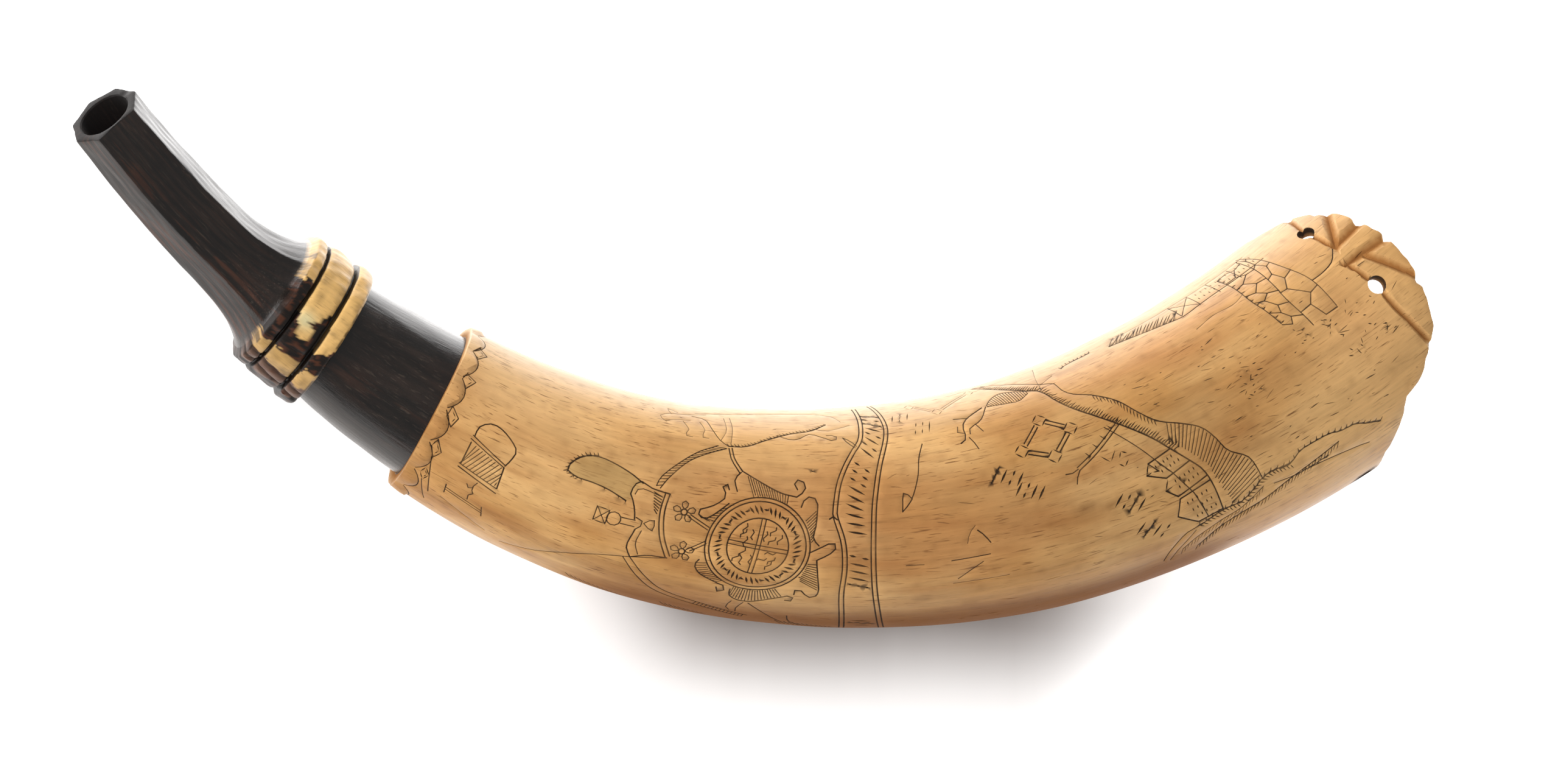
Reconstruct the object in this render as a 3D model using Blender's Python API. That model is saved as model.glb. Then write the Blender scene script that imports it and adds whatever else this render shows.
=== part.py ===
"""Powder horn, carved from one curved cattle horn and open at the butt.

One solid: a faceted dark spout with a bored mouth, a band of three turned rings, a dark
round neck, a scalloped collar, and a hollow cream body whose butt rim has a carved fan
and five peg holes.  The horn lies on its side on small flat spots.  Metres, +Z up.

The surface is swept along a curved axis.  A place on it is (along, angle): along is the
distance from the spout's mouth on the axis, and angle turns round the axis, 0 on the
side that shows best and 90 on the inside of the curve.
"""

import math

import bmesh
import bpy
from mathutils import Matrix, Vector

# Lengths along the axis
SPOUT_LENGTH = 0.0590
RING_WIDTHS = (0.0032, 0.0076, 0.0043)
RING_GROOVE_WIDTHS = (0.0007, 0.0010)
NECK_LENGTH = 0.0273
BODY_LENGTH = 0.2419
RIM_SETBACK = 0.0140
RIM_RISE = 0.0120
FAN_LENGTH = 0.0113

# Outer radii
MOUTH_CORNER_RADIUS = 0.0087
SPOUT_TAPER = 0.026
RING_RADII = (0.0164, 0.0169, 0.0175)
RING_GROOVE_DEPTHS = (0.0011, 0.0015)
RING_EDGE = 0.0003
NECK_FRONT_RADIUS = 0.0147
NECK_BACK_RADIUS = 0.0174
COLLAR_RADIUS = 0.0196
BUTT_RADIUS = 0.0316
BODY_SWELL_POWER = 0.80
BUTT_FLATNESS = 0.95

# The spout's cove, lip and facets
COVE_LENGTH = 0.0200
LIP_ROUND = 0.0012
FACET_CORNERS = (-24.0, 48.0, 96.0, 144.0, 192.0, 240.0, 288.0)

# The scalloped collar
SCALLOPS = 15
SCALLOP_LENGTH = 0.0040
SCALLOP_HEIGHT = 0.0006
FIRST_VALLEY = 6.0
COLLAR_STEP_SHARE = 0.4

# The hollow
MOUTH_BORE_RADIUS = 0.0061
MOUTH_BORE_DEPTH = 0.0140
BORE_RADIUS = 0.0044
HOLLOW_START = 0.0800
HOLLOW_TAPER = 0.0700
BODY_WALL = 0.0036
BUTT_WALL = 0.0027

# The butt's fan, its grooves and the peg holes
FAN_ANGLE = 22.0
FAN_HALF_WIDTH = 60.0
FAN_POWER = 2.6
GROOVE_HALF_WIDTH = 0.0010
GROOVE_DEPTH = 0.0009
PEG_HOLE_DIAMETER = 0.0046
PEG_HOLE_INSET = 0.0045
FAN_PEG_HOLES = ((0.0030, 54.4), (0.0020, 11.3))
RIM_PEG_ANGLES = (-83.0, -150.0, 150.0)

# Each cut of the fan, from the rim inwards: (share of the fan's length past the axis, angle)
FAN_CUTS = (
    ((0.13, 79.0), (-0.22, 57.0), (-0.22, 38.5)),
    ((0.62, 60.0), (-0.18, 37.0)),
    ((1.13, 41.0), (-0.18, 37.5)),
    ((1.13, 25.5), (-0.40, 27.3)),
    ((0.75, 1.5), (0.13, 24.5)),
    ((0.22, -29.0), (-0.13, -3.0), (-0.19, 11.3), (-0.31, 24.0)),
)

# The slant of the rings and of the collar, and the cuts worn into the band
BAND_SLANT = 0.0028
COLLAR_SLANT = 0.0028
SLANT_POWER = 2.2
WEAR_ANGLES = (-49.0, -60.0)
WEAR_DEPTH = 0.0009

# The axis: heading in the plane of the curve and lean away from it, at every tenth
HEADINGS = (-55.0, -48.2, -38.3, -31.9, -22.0, -9.0, 1.0, 11.2, 21.6, 29.0, 35.5)
LEANS = (36.0, 27.0, 16.5, 11.3, 10.7, 11.2, 12.8, 15.0, 17.9, 21.3, 24.3)
AXIS_STEP = 0.0005

# How the horn lies, and the depth of its flat spots
ROLL = 6.5
PITCH = -17.4
FLAT_SPOT_DEPTH = 0.0005

# Where rows of points lie: shares of the cove, of the spout before it, and of the neck
COVE_SHARES = (0.0, 0.3, 0.55, 0.75, 0.9, 0.98)
SPOUT_SHARES = (0.25, 0.5, 0.75)
NECK_SHARES = (0.01, 0.25, 0.5, 0.75, 0.985)
SCALLOP_SHARES = (0.06, 0.3, 0.6, 0.85, 1.05)
BODY_ROWS = 13
SEGMENTS = 60
HOLE_SIDES = 12

BAND_LENGTH = sum(RING_WIDTHS) + sum(RING_GROOVE_WIDTHS)
BAND_END = SPOUT_LENGTH + BAND_LENGTH
COLLAR = BAND_END + NECK_LENGTH
AXIS_LENGTH = COLLAR + BODY_LENGTH
RIM = AXIS_LENGTH - RIM_SETBACK


def clamp(value, low=0.0, high=1.0):
    return max(low, min(high, value))


def mix(a, b, share):
    return a + (b - a) * share


def smooth_table(values, share):
    """A smooth curve through evenly spaced values, at a share from 0 to 1."""
    last = len(values) - 1
    place = clamp(share) * last
    i = min(int(place), last - 1)
    t = place - i

    def slope(k):
        low = max(k - 1, 0)
        high = min(k + 1, last)
        return (values[high] - values[low]) / (high - low)

    rise = t * t * (3 - 2 * t)
    ease_in = t * (1 - t) ** 2 * slope(i)
    ease_out = t * t * (t - 1) * slope(i + 1)
    return mix(values[i], values[i + 1], rise) + ease_in + ease_out


def axis_direction(along):
    share = along / AXIS_LENGTH
    heading = math.radians(smooth_table(HEADINGS, share))
    lean = math.radians(smooth_table(LEANS, share))
    flat = math.cos(lean)
    return Vector((flat * math.cos(heading), flat * math.sin(heading), -math.sin(lean)))


def trace_axis():
    """Points on the axis every AXIS_STEP, from the mouth to beyond the fan."""
    points = [Vector((0.0, 0.0, 0.0))]
    while len(points) * AXIS_STEP < AXIS_LENGTH + 2 * FAN_LENGTH:
        middle = (len(points) - 0.5) * AXIS_STEP
        points.append(points[-1] + axis_direction(middle) * AXIS_STEP)
    return points


AXIS = trace_axis()


def axis_frame(along):
    """The axis point, and the directions of angle 0 and angle 90 there."""
    place = clamp(along / AXIS_STEP, 0.0, len(AXIS) - 1.001)
    i = int(place)
    centre = AXIS[i].lerp(AXIS[i + 1], place - i)
    toward_butt = axis_direction(along)
    viewer = Vector((0.0, 0.0, 1.0))
    front = (viewer - toward_butt * viewer.dot(toward_butt)).normalized()
    return centre, front, front.cross(toward_butt)


def lean_share(angle):
    """0 on the inside of the curve, 1 on the outside: how far a slant has gone."""
    return ((1 - math.sin(math.radians(angle))) / 2) ** SLANT_POWER


def slanted(along, angle):
    """The hand-cut rings and collar sit a little askew: shifts along for the angle."""
    stations = (
        (SPOUT_LENGTH - COVE_LENGTH, 0.0),
        (SPOUT_LENGTH, BAND_SLANT),
        (BAND_END, 0.7 * BAND_SLANT),
        (BAND_END + 0.4 * NECK_LENGTH, 0.0),
        (COLLAR - 0.4 * NECK_LENGTH, 0.0),
        (COLLAR, COLLAR_SLANT),
        (COLLAR + SCALLOP_LENGTH, COLLAR_SLANT),
        (COLLAR + 6 * SCALLOP_LENGTH, 0.0),
    )
    shift = 0.0
    for (start, low), (end, high) in zip(stations, stations[1:]):
        if start <= along < end:
            shift = mix(low, high, (along - start) / (end - start))
    return along + shift * lean_share(angle)


def facet_share(angle):
    """Radius of the spout's flat-sided section, as a share of its corners' radius."""
    corners = FACET_CORNERS + (FACET_CORNERS[0] + 360,)
    turned = (angle - corners[0]) % 360 + corners[0]
    for start, end in zip(corners, corners[1:]):
        if start <= turned <= end:
            half = math.radians((end - start) / 2)
            off = math.radians(turned - (start + end) / 2)
            return math.cos(half) / math.cos(off)
    return 1.0


def spout_radius(along, angle):
    """Flat facets that taper gently, then flare in a cove to the first ring."""
    start = SPOUT_LENGTH - COVE_LENGTH
    share = clamp((along - start) / COVE_LENGTH)
    corner = MOUTH_CORNER_RADIUS + SPOUT_TAPER * min(along, start)
    flare = (RING_RADII[0] - corner) * (1 - math.sqrt(1 - share**2))
    roundness = clamp((share - 0.25) / 0.75) ** 2
    return (corner + flare) * mix(facet_share(angle), 1.0, roundness)


def body_radius(along):
    share = clamp((along - COLLAR) / (AXIS_LENGTH - COLLAR), 0.0, 1.1)
    return COLLAR_RADIUS + (BUTT_RADIUS - COLLAR_RADIUS) * share**BODY_SWELL_POWER


def scallop(angle):
    """0 in the valleys between the collar's scallops, 1 in the middle of each."""
    pitch = 360 / SCALLOPS
    return math.sin(math.pi * (((angle - FIRST_VALLEY) / pitch) % 1.0))


def collar_radius(along, angle):
    """The body's radius, raised by the collar's rounded scallops."""
    far = SCALLOP_LENGTH * (0.35 + 0.65 * scallop(angle))
    share = clamp((along - COLLAR) / far)
    pad = SCALLOP_HEIGHT * scallop(angle) * math.sin(math.pi * clamp(0.15 + 0.85 * share))
    return body_radius(along) + pad


def rim_along(angle):
    """Where the butt's rim lies: a plain edge that rises to the carved fan."""
    off = (angle - FAN_ANGLE + 180) % 360 - 180
    plain = RIM + RIM_RISE * max(0.0, math.cos(math.radians(off)))
    share = min(1.0, abs(off) / FAN_HALF_WIDTH)
    return plain + FAN_LENGTH * math.sqrt(1 - share**FAN_POWER)


def hollow_radius(along):
    """The mouth's taper, the long bore, and the hollow that follows the body."""
    if along < MOUTH_BORE_DEPTH:
        return mix(MOUTH_BORE_RADIUS, BORE_RADIUS, along / MOUTH_BORE_DEPTH)
    wall = mix(BODY_WALL, BUTT_WALL, clamp((along - COLLAR) / BODY_LENGTH))
    share = clamp((along - HOLLOW_START) / HOLLOW_TAPER)
    ease = share * share * (3 - 2 * share)
    return mix(BORE_RADIUS, body_radius(max(along, COLLAR)) - wall, ease)


def flatness(along):
    """The body's depth as a share of its height, less towards the butt."""
    return mix(1.0, BUTT_FLATNESS, clamp((along - COLLAR) / BODY_LENGTH))


def place(along, angle, radius):
    """The point at a radius from the axis, in the frame of the curve."""
    centre, front, upper = axis_frame(along)
    turn = math.radians(angle)
    deep = radius * flatness(along) * math.cos(turn)
    return centre + front * deep + upper * (radius * math.sin(turn))


def ring_stations():
    """(along, radius) of the turned rings, the grooves between them and the neck."""
    stations = []
    start = SPOUT_LENGTH
    for i, (width, radius) in enumerate(zip(RING_WIDTHS, RING_RADII)):
        end = start + width
        soft = 0.12 * width
        crown = radius + RING_EDGE / 3
        stations += [(start + RING_EDGE / 3, radius - RING_EDGE), (start + soft, radius)]
        stations += [((start + end) / 2, crown), (end - soft, radius)]
        stations.append((end - RING_EDGE / 3, radius - RING_EDGE))
        if i < len(RING_GROOVE_WIDTHS):
            gap = RING_GROOVE_WIDTHS[i]
            floor = radius - RING_GROOVE_DEPTHS[i]
            stations += [(end + 0.25 * gap, floor), (end + 0.75 * gap, floor)]
            start = end + gap
    for share in NECK_SHARES:
        radius = mix(NECK_FRONT_RADIUS, NECK_BACK_RADIUS, share)
        stations.append((BAND_END + share * NECK_LENGTH, radius))
    return stations


def outside_rings():
    """Rows of points down the outside, from the mouth's lip to the butt's rim."""
    angles = [360 * k / SEGMENTS for k in range(SEGMENTS)]
    rows = []
    start = SPOUT_LENGTH - COVE_LENGTH
    spout = [LIP_ROUND, *(start * share for share in SPOUT_SHARES)]
    spout += [start + COVE_LENGTH * share for share in COVE_SHARES]
    rows.append([place(0.0, a, mix(MOUTH_BORE_RADIUS, spout_radius(0.0, a), 0.5)) for a in angles])
    for along in spout:
        rows.append([place(slanted(along, a), a, spout_radius(along, a)) for a in angles])
    for along, radius in ring_stations():
        rows.append([place(slanted(along, a), a, radius) for a in angles])
    step = mix(NECK_BACK_RADIUS, COLLAR_RADIUS, COLLAR_STEP_SHARE)
    rows.append([place(slanted(COLLAR, a), a, step) for a in angles])
    for share in SCALLOP_SHARES:
        along = COLLAR + SCALLOP_LENGTH * share
        rows.append([place(slanted(along, a), a, collar_radius(along, a)) for a in angles])
    first = COLLAR + 1.6 * SCALLOP_LENGTH
    last = RIM - BUTT_RADIUS / 2
    for k in range(BODY_ROWS):
        along = mix(first, last, k / (BODY_ROWS - 1))
        rows.append([place(slanted(along, a), a, body_radius(along)) for a in angles])
    for share in (0.35, 0.7, 1.0):
        row = []
        for a in angles:
            along = mix(last, rim_along(a) - 0.3 * BUTT_WALL, share)
            row.append(place(along, a, body_radius(along)))
        rows.append(row)
    return rows


def inside_rings():
    """Rows of points back up the inside, from the butt's rim to the mouth."""
    angles = [360 * k / SEGMENTS for k in range(SEGMENTS)]
    rows = []
    for inset in (0.7, 0.0):
        row = []
        for a in angles:
            along = rim_along(a)
            radius = mix(hollow_radius(along), body_radius(along), inset)
            row.append(place(along, a, radius))
        rows.append(row)
    last = RIM - BUTT_RADIUS / 3
    first = HOLLOW_START + HOLLOW_TAPER
    stations = [mix(last, first, k / 4) for k in range(5)]
    stations += [HOLLOW_START + HOLLOW_TAPER * share for share in (0.75, 0.5, 0.25, 0.0)]
    stations += [mix(MOUTH_BORE_DEPTH, HOLLOW_START, 0.5), MOUTH_BORE_DEPTH, 0.0]
    for along in stations:
        rows.append([place(along, a, hollow_radius(along)) for a in angles])
    return rows


def new_object(name, mesh):
    thing = bpy.data.objects.new(name, mesh)
    bpy.context.scene.collection.objects.link(thing)
    return thing


def loft(name, rows):
    """A closed skin over rows of points, the last row joined back to the first."""
    shape = bmesh.new()
    rings = [[shape.verts.new(point) for point in row] for row in rows]
    for near, far in zip(rings, rings[1:] + rings[:1]):
        for k in range(SEGMENTS):
            after = (k + 1) % SEGMENTS
            shape.faces.new((near[k], near[after], far[after], far[k]))
    bmesh.ops.recalc_face_normals(shape, faces=shape.faces)
    mesh = bpy.data.meshes.new(name)
    shape.to_mesh(mesh)
    shape.free()
    return new_object(name, mesh)


def prism(name, sections):
    """A closed bar through sections of equal corner count, with flat ends."""
    shape = bmesh.new()
    rings = [[shape.verts.new(point) for point in section] for section in sections]
    sides = len(rings[0])
    for near, far in zip(rings, rings[1:]):
        for k in range(sides):
            after = (k + 1) % sides
            shape.faces.new((near[k], near[after], far[after], far[k]))
    shape.faces.new(rings[0][::-1])
    shape.faces.new(rings[-1])
    bmesh.ops.recalc_face_normals(shape, faces=shape.faces)
    mesh = bpy.data.meshes.new(name)
    shape.to_mesh(mesh)
    shape.free()
    return new_object(name, mesh)


def vee_cutter(name, path, radius_at, half_width, depth):
    """A V-shaped bar that follows a path of (along, angle) on the surface."""
    points = []
    for (along_a, angle_a), (along_b, angle_b) in zip(path, path[1:]):
        steps = max(1, math.ceil(abs(angle_b - angle_a) / 8))
        for k in range(steps):
            points.append((mix(along_a, along_b, k / steps), mix(angle_a, angle_b, k / steps)))
    points.append(path[-1])
    centres = [place(along, angle, radius_at(along)) for along, angle in points]
    sections = []
    for i, (along, angle) in enumerate(points):
        before = centres[max(i - 1, 0)]
        after = centres[min(i + 1, len(points) - 1)]
        outward = (place(along, angle, 2 * radius_at(along)) - centres[i]).normalized()
        side = outward.cross(after - before).normalized()
        spread = side * (half_width * 2)
        sections.append(
            (
                centres[i] - outward * depth,
                centres[i] + outward * depth + spread,
                centres[i] + outward * depth - spread,
            )
        )
    return prism(name, sections)


def fan_grooves():
    """The fan's cuts from the rim to its hub: lists of (along, angle)."""
    return [
        [(AXIS_LENGTH + share * FAN_LENGTH, angle) for share, angle in cut_line]
        for cut_line in FAN_CUTS
    ]


def peg_holes():
    """(along, angle) of each peg hole: two through the fan, three by the plain rim."""
    fan_holes = [(AXIS_LENGTH - inset, angle) for inset, angle in FAN_PEG_HOLES]
    return fan_holes + [(RIM - PEG_HOLE_INSET, angle) for angle in RIM_PEG_ANGLES]


def peg_cutter(name, along, angle):
    """A round bar through the wall, square to the surface."""
    centre = place(along, angle, body_radius(along))
    outward = (place(along, angle, 2 * body_radius(along)) - centre).normalized()
    across = outward.orthogonal().normalized()
    other = outward.cross(across)
    sections = []
    for depth in (2.2 * BUTT_WALL, -BUTT_WALL):
        middle = centre - outward * depth
        turns = [2 * math.pi * k / HOLE_SIDES for k in range(HOLE_SIDES)]
        radius = PEG_HOLE_DIAMETER / 2
        sections.append(
            [middle + (across * math.cos(t) + other * math.sin(t)) * radius for t in turns]
        )
    return prism(name, sections)


def cut(thing, cutter):
    """Cuts one shape out of another with a Boolean modifier."""
    cutter.hide_render = True
    cutter.display_type = "WIRE"
    cutter.hide_set(True)
    modifier = thing.modifiers.new(cutter.name, "BOOLEAN")
    modifier.operation = "DIFFERENCE"
    modifier.solver = "EXACT"
    modifier.object = cutter


def principled(name, colour, roughness):
    material = bpy.data.materials.new(name)
    material.use_nodes = True
    shader = material.node_tree.nodes["Principled BSDF"]
    shader.inputs["Base Color"].default_value = (*colour, 1.0)
    shader.inputs["Roughness"].default_value = roughness
    shader.inputs["Metallic"].default_value = 0.0
    return material


def paint(thing):
    """Cream horn all over, but for the dark spout and neck."""
    thing.data.materials.append(principled("cream horn", (0.62, 0.38, 0.15), 0.38))
    thing.data.materials.append(principled("dark horn", (0.012, 0.010, 0.008), 0.30))
    spout_rows = 1 + len(SPOUT_SHARES) + len(COVE_SHARES)
    neck_end = spout_rows + len(ring_stations())
    neck_start = neck_end - len(NECK_SHARES)
    for face in thing.data.polygons:
        row = face.index // SEGMENTS
        if row < spout_rows or neck_start <= row < neck_end:
            face.material_index = 1


def lay_down(things):
    """Turns everything from the curve's frame to the way the horn lies."""
    turn = Matrix.Rotation(math.radians(PITCH), 4, "Y") @ Matrix.Rotation(math.radians(ROLL), 4, "X")
    for thing in things:
        thing.data.transform(turn)
    corners = [vertex.co for vertex in things[0].data.vertices]
    low = Vector([min(c[axis] for c in corners) for axis in range(3)])
    high = Vector([max(c[axis] for c in corners) for axis in range(3)])
    middle = (low + high) / 2
    shift = Vector((-middle.x, -middle.y, -low.z - FLAT_SPOT_DEPTH))
    for thing in things:
        thing.data.transform(Matrix.Translation(shift))
    return high - low


def flat_spot_cutter(size):
    """A block whose top is the floor: it cuts the small flats that the horn lies on."""
    across = size * 0.6
    deep = size.z * 0.2
    corners = [(-across.x, -across.y), (across.x, -across.y), (across.x, across.y), (-across.x, across.y)]
    return prism("floor_cutter", [[Vector((x, y, z)) for x, y in corners] for z in (-deep, 0.0)])


def build():
    for thing in list(bpy.data.objects):
        bpy.data.objects.remove(thing, do_unlink=True)
    rows = outside_rings() + inside_rings()
    horn = loft("horn", rows)
    paint(horn)
    cutters = []
    for i, (along, angle) in enumerate(peg_holes()):
        cutters.append(peg_cutter(f"peg_hole_{i + 1}", along, angle))
    for i, path in enumerate(fan_grooves()):
        cutters.append(
            vee_cutter(f"fan_groove_{i + 1}", path, body_radius, GROOVE_HALF_WIDTH, GROOVE_DEPTH)
        )
    for i, angle in enumerate(WEAR_ANGLES):
        path = ((SPOUT_LENGTH + WEAR_DEPTH, angle), (BAND_END + WEAR_DEPTH, angle))
        cutters.append(
            vee_cutter(f"band_wear_{i + 1}", path, lambda along: RING_RADII[1], WEAR_DEPTH, WEAR_DEPTH)
        )
    size = lay_down([horn, *cutters])
    cutters.append(flat_spot_cutter(size))
    for cutter in cutters:
        cut(horn, cutter)
    horn.data.shade_smooth()


build()
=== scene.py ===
import math

import bmesh
import bpy
import numpy as np
from mathutils import Matrix, Vector
from mathutils.geometry import delaunay_2d_cdt
from mathutils.kdtree import KDTree


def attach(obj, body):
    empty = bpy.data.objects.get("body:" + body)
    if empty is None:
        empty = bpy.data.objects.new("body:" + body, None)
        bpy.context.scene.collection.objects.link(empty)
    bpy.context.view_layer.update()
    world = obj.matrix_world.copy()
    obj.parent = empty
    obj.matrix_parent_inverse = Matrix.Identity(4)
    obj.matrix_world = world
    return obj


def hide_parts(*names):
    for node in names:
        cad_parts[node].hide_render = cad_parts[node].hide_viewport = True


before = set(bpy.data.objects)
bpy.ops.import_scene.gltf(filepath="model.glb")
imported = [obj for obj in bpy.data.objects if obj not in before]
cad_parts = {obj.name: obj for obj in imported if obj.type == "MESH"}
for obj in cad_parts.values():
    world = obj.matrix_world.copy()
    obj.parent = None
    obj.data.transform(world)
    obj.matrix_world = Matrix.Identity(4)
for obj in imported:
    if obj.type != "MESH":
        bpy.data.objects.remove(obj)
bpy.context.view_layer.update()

# Lengths are in millimetres where nothing else is said. A place on the horn is
# (along, angle), as in the CAD part: along runs down the axis from the spout's mouth, and
# angle is 0 on the side that shows best and 90 on the inside of the curve.

SPOUT_LENGTH = 59.0
RINGS = ((3.2, 16.4), (7.6, 16.9), (4.3, 17.5))
RING_GROOVES = ((0.7, 1.1), (1.0, 1.5))
NECK_LENGTH = 27.3
BODY_LENGTH = 241.9
RIM_SETBACK = 14.0
RIM_RISE = 12.0
FAN_LENGTH = 11.3
MOUTH_CORNER_RADIUS = 8.7
SPOUT_TAPER = 0.026
NECK_FRONT_RADIUS = 14.7
NECK_BACK_RADIUS = 17.4
COLLAR_RADIUS = 19.6
BUTT_RADIUS = 31.6
BODY_SWELL_POWER = 0.80
BUTT_FLATNESS = 0.95
COVE_LENGTH = 20.0
FACET_CORNERS = (-24.0, 48.0, 96.0, 144.0, 192.0, 240.0, 288.0)
SCALLOPS = 15
SCALLOP_LENGTH = 4.0
SCALLOP_HEIGHT = 0.6
FIRST_VALLEY = 6.0
MOUTH_BORE_RADIUS = 6.1
MOUTH_BORE_DEPTH = 14.0
BORE_RADIUS = 4.4
HOLLOW_START = 80.0
HOLLOW_TAPER = 70.0
BODY_WALL = 3.6
BUTT_WALL = 2.7
FAN_ANGLE = 22.0
FAN_HALF_WIDTH = 60.0
FAN_POWER = 2.6
PEG_HOLE_RADIUS = 2.3
BAND_SLANT = 2.8
COLLAR_SLANT = 2.8
SLANT_POWER = 2.2
HEADINGS = np.array((-55.0, -48.2, -38.3, -31.9, -22.0, -9.0, 1.0, 11.2, 21.6, 29.0, 35.5))
LEANS = np.array((36.0, 27.0, 16.5, 11.3, 10.7, 11.2, 12.8, 15.0, 17.9, 21.3, 24.3))

BAND_LENGTH = sum(w for w, _ in RINGS) + sum(w for w, _ in RING_GROOVES)
BAND_END = SPOUT_LENGTH + BAND_LENGTH
COLLAR = BAND_END + NECK_LENGTH
AXIS_LENGTH = COLLAR + BODY_LENGTH
RIM = AXIS_LENGTH - RIM_SETBACK
PEG_HOLES = (
    (AXIS_LENGTH - 3.0, 54.4),
    (AXIS_LENGTH - 2.0, 11.3),
    (RIM - 4.5, -83.0),
    (RIM - 4.5, -150.0),
    (RIM - 4.5, 150.0),
)

# How the horn lies: the turn from the frame of the photograph, and the mouth's place
LAY = Matrix.Rotation(math.radians(-17.4), 4, "Y") @ Matrix.Rotation(math.radians(6.5), 4, "X")
MOUTH = Vector((-155.01, 51.55, 43.42))
PHOTO_MOUTH = Vector((-151.00, 60.46, 55.82))
CAMERA_DISTANCE = 1200.0

# The floor's painted glow ahead of the horn and behind it, and its painted shadow, in metres from the skin
GLOW_AHEAD = 0.70
GLOW_BEHIND = 3.1
SHADOW_START = 0.008
SHADOW_REACH = 0.024

AXIS_STEP = 0.5
FLAT_RADIUS = 25.0
DEG = math.radians(1.0) * FLAT_RADIUS  # one degree, in mm, on the unrolled body
TURNS = np.arange(-180.0, 180.0, 1.5)

# The mesh: gaps between its plain points, and what they keep clear of strokes and peg holes
BODY_SPACING = 1.75
HOLLOW_SPACING = 3.4
FAR_SIDE_SPACING = 1.6  # times as wide on the side that shows least
ENGRAVED_REACH = 102  # degrees to both sides of the side that shows best
STROKE_CLEARANCE = 0.62
HOLE_CLEARANCE = 0.7
HOLE_SIDES = 20
HOLE_WALL_DROP = 0.35
FINE_HOLLOW_START = 298.0
HOLLOW_ROWS = (
    280, 255, 230, 205, 180, 165, 150, 138, 126, 115, 104, 92, 80, 64, 47, 30, 20, 14, 9, 5, 2, 0.35,
)
# up to here along the bore it is painted near-black: painted shade deep in the hole
SHADED_BORE_END = 100
SHARP_ANGLE = math.radians(32)

# The floor, the light and the camera: sizes in metres, but the light's place in mm as the
# photograph's frame has it
FLOOR_COLOUR = (0.50, 0.465, 0.445)
FLOOR_DROP = 0.0002
SKY_STRENGTH = 0.32
KEY_LIGHT_PLACE = (-480.0, 220.0, 880.0)
KEY_LIGHT_SIZE = 1.2
KEY_LIGHT_POWER = 17.0
SENSOR_WIDTH = 36.0  # mm, as the lens
LENS_LENGTH = 118.33


def mix(a, b, share):
    return a + (b - a) * share


def ease(value):
    t = np.clip(value, 0.0, 1.0)
    return t * t * (3 - 2 * t)


def smooth_table(values, share):
    last = len(values) - 1
    place = np.clip(share, 0, 1) * last
    i = np.minimum(place.astype(int), last - 1)
    t = place - i
    slope = np.gradient(values)
    rise = mix(values[i], values[i + 1], t * t * (3 - 2 * t))
    return rise + t * (1 - t) ** 2 * slope[i] + t * t * (t - 1) * slope[i + 1]


def axis_direction(along):
    heading = np.radians(smooth_table(HEADINGS, along / AXIS_LENGTH))
    lean = np.radians(smooth_table(LEANS, along / AXIS_LENGTH))
    flat = np.cos(lean)
    return np.stack((flat * np.cos(heading), flat * np.sin(heading), -np.sin(lean)), -1)


AXIS_PLACES = np.arange(0.0, AXIS_LENGTH + 2 * FAN_LENGTH, AXIS_STEP)
AXIS = np.zeros((len(AXIS_PLACES), 3))
AXIS[1:] = np.cumsum(axis_direction(AXIS_PLACES[:-1] + AXIS_STEP / 2) * AXIS_STEP, axis=0)


def flatness(along):
    return mix(1.0, BUTT_FLATNESS, np.clip((along - COLLAR) / BODY_LENGTH, 0, 1))


def laid(points):
    """Points of the curve's frame as the horn lies, in metres."""
    return (points @ np.array(LAY.to_3x3()).T + np.array(MOUTH)) / 1000


def place(along, angle, radius):
    """Points at a radius from the axis, in the frame of the curve."""
    along, angle, radius = np.broadcast_arrays(np.asarray(along, float), angle, radius)
    centre = np.stack([np.interp(along, AXIS_PLACES, AXIS[:, k]) for k in range(3)], -1)
    toward = axis_direction(along)
    front = np.array((0.0, 0.0, 1.0)) - toward * toward[..., 2:3]
    front /= np.linalg.norm(front, axis=-1, keepdims=True)
    upper = np.cross(front, toward)
    turn = np.radians(angle)
    deep = (radius * flatness(along) * np.cos(turn))[..., None]
    return centre + front * deep + upper * (radius * np.sin(turn))[..., None]


def lean_share(angle):
    return ((1 - np.sin(np.radians(angle))) / 2) ** SLANT_POWER


def slanted(along, angle):
    """The hand-cut rings and collar sit a little askew."""
    places = (
        SPOUT_LENGTH - COVE_LENGTH,
        SPOUT_LENGTH,
        BAND_END,
        BAND_END + 0.4 * NECK_LENGTH,
        COLLAR - 0.4 * NECK_LENGTH,
        COLLAR,
    )
    shifts = (0.0, BAND_SLANT, 0.7 * BAND_SLANT, 0.0, 0.0, COLLAR_SLANT)
    return along + np.interp(along, places, shifts) * lean_share(angle)


def ripple(along, angle, wave, seed, octaves=3):
    """Smooth random variation over the unrolled surface, about -1 to 1, wave in mm."""
    random = np.random.default_rng(seed)
    total = 0.0
    for octave in range(octaves):
        size = wave / 1.9**octave
        for _ in range(7):
            way = random.uniform(0, math.pi)
            laps = round(math.sin(way) * 2 * math.pi * FLAT_RADIUS / size)
            phase = random.uniform(0, 2 * math.pi)
            turn = 2 * math.pi * along * math.cos(way) / size + laps * np.radians(angle)
            total = total + np.sin(turn + phase) * 0.38 * 0.6**octave
    return total


def facet_share(angle):
    corners = FACET_CORNERS + (FACET_CORNERS[0] + 360,)
    turned = (angle - corners[0]) % 360 + corners[0]
    share = np.ones_like(turned)
    for start, end in zip(corners, corners[1:]):
        half = math.radians((end - start) / 2)
        off = np.radians(turned - (start + end) / 2)
        flat = math.cos(half) / np.cos(np.clip(off, -half, half))
        share = np.where((turned >= start) & (turned <= end), flat, share)
    nearest = np.min([abs((angle - c + 180) % 360 - 180) for c in corners], axis=0)
    return share - 0.010 * np.clip(1 - nearest / 2.0, 0, 1)


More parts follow.
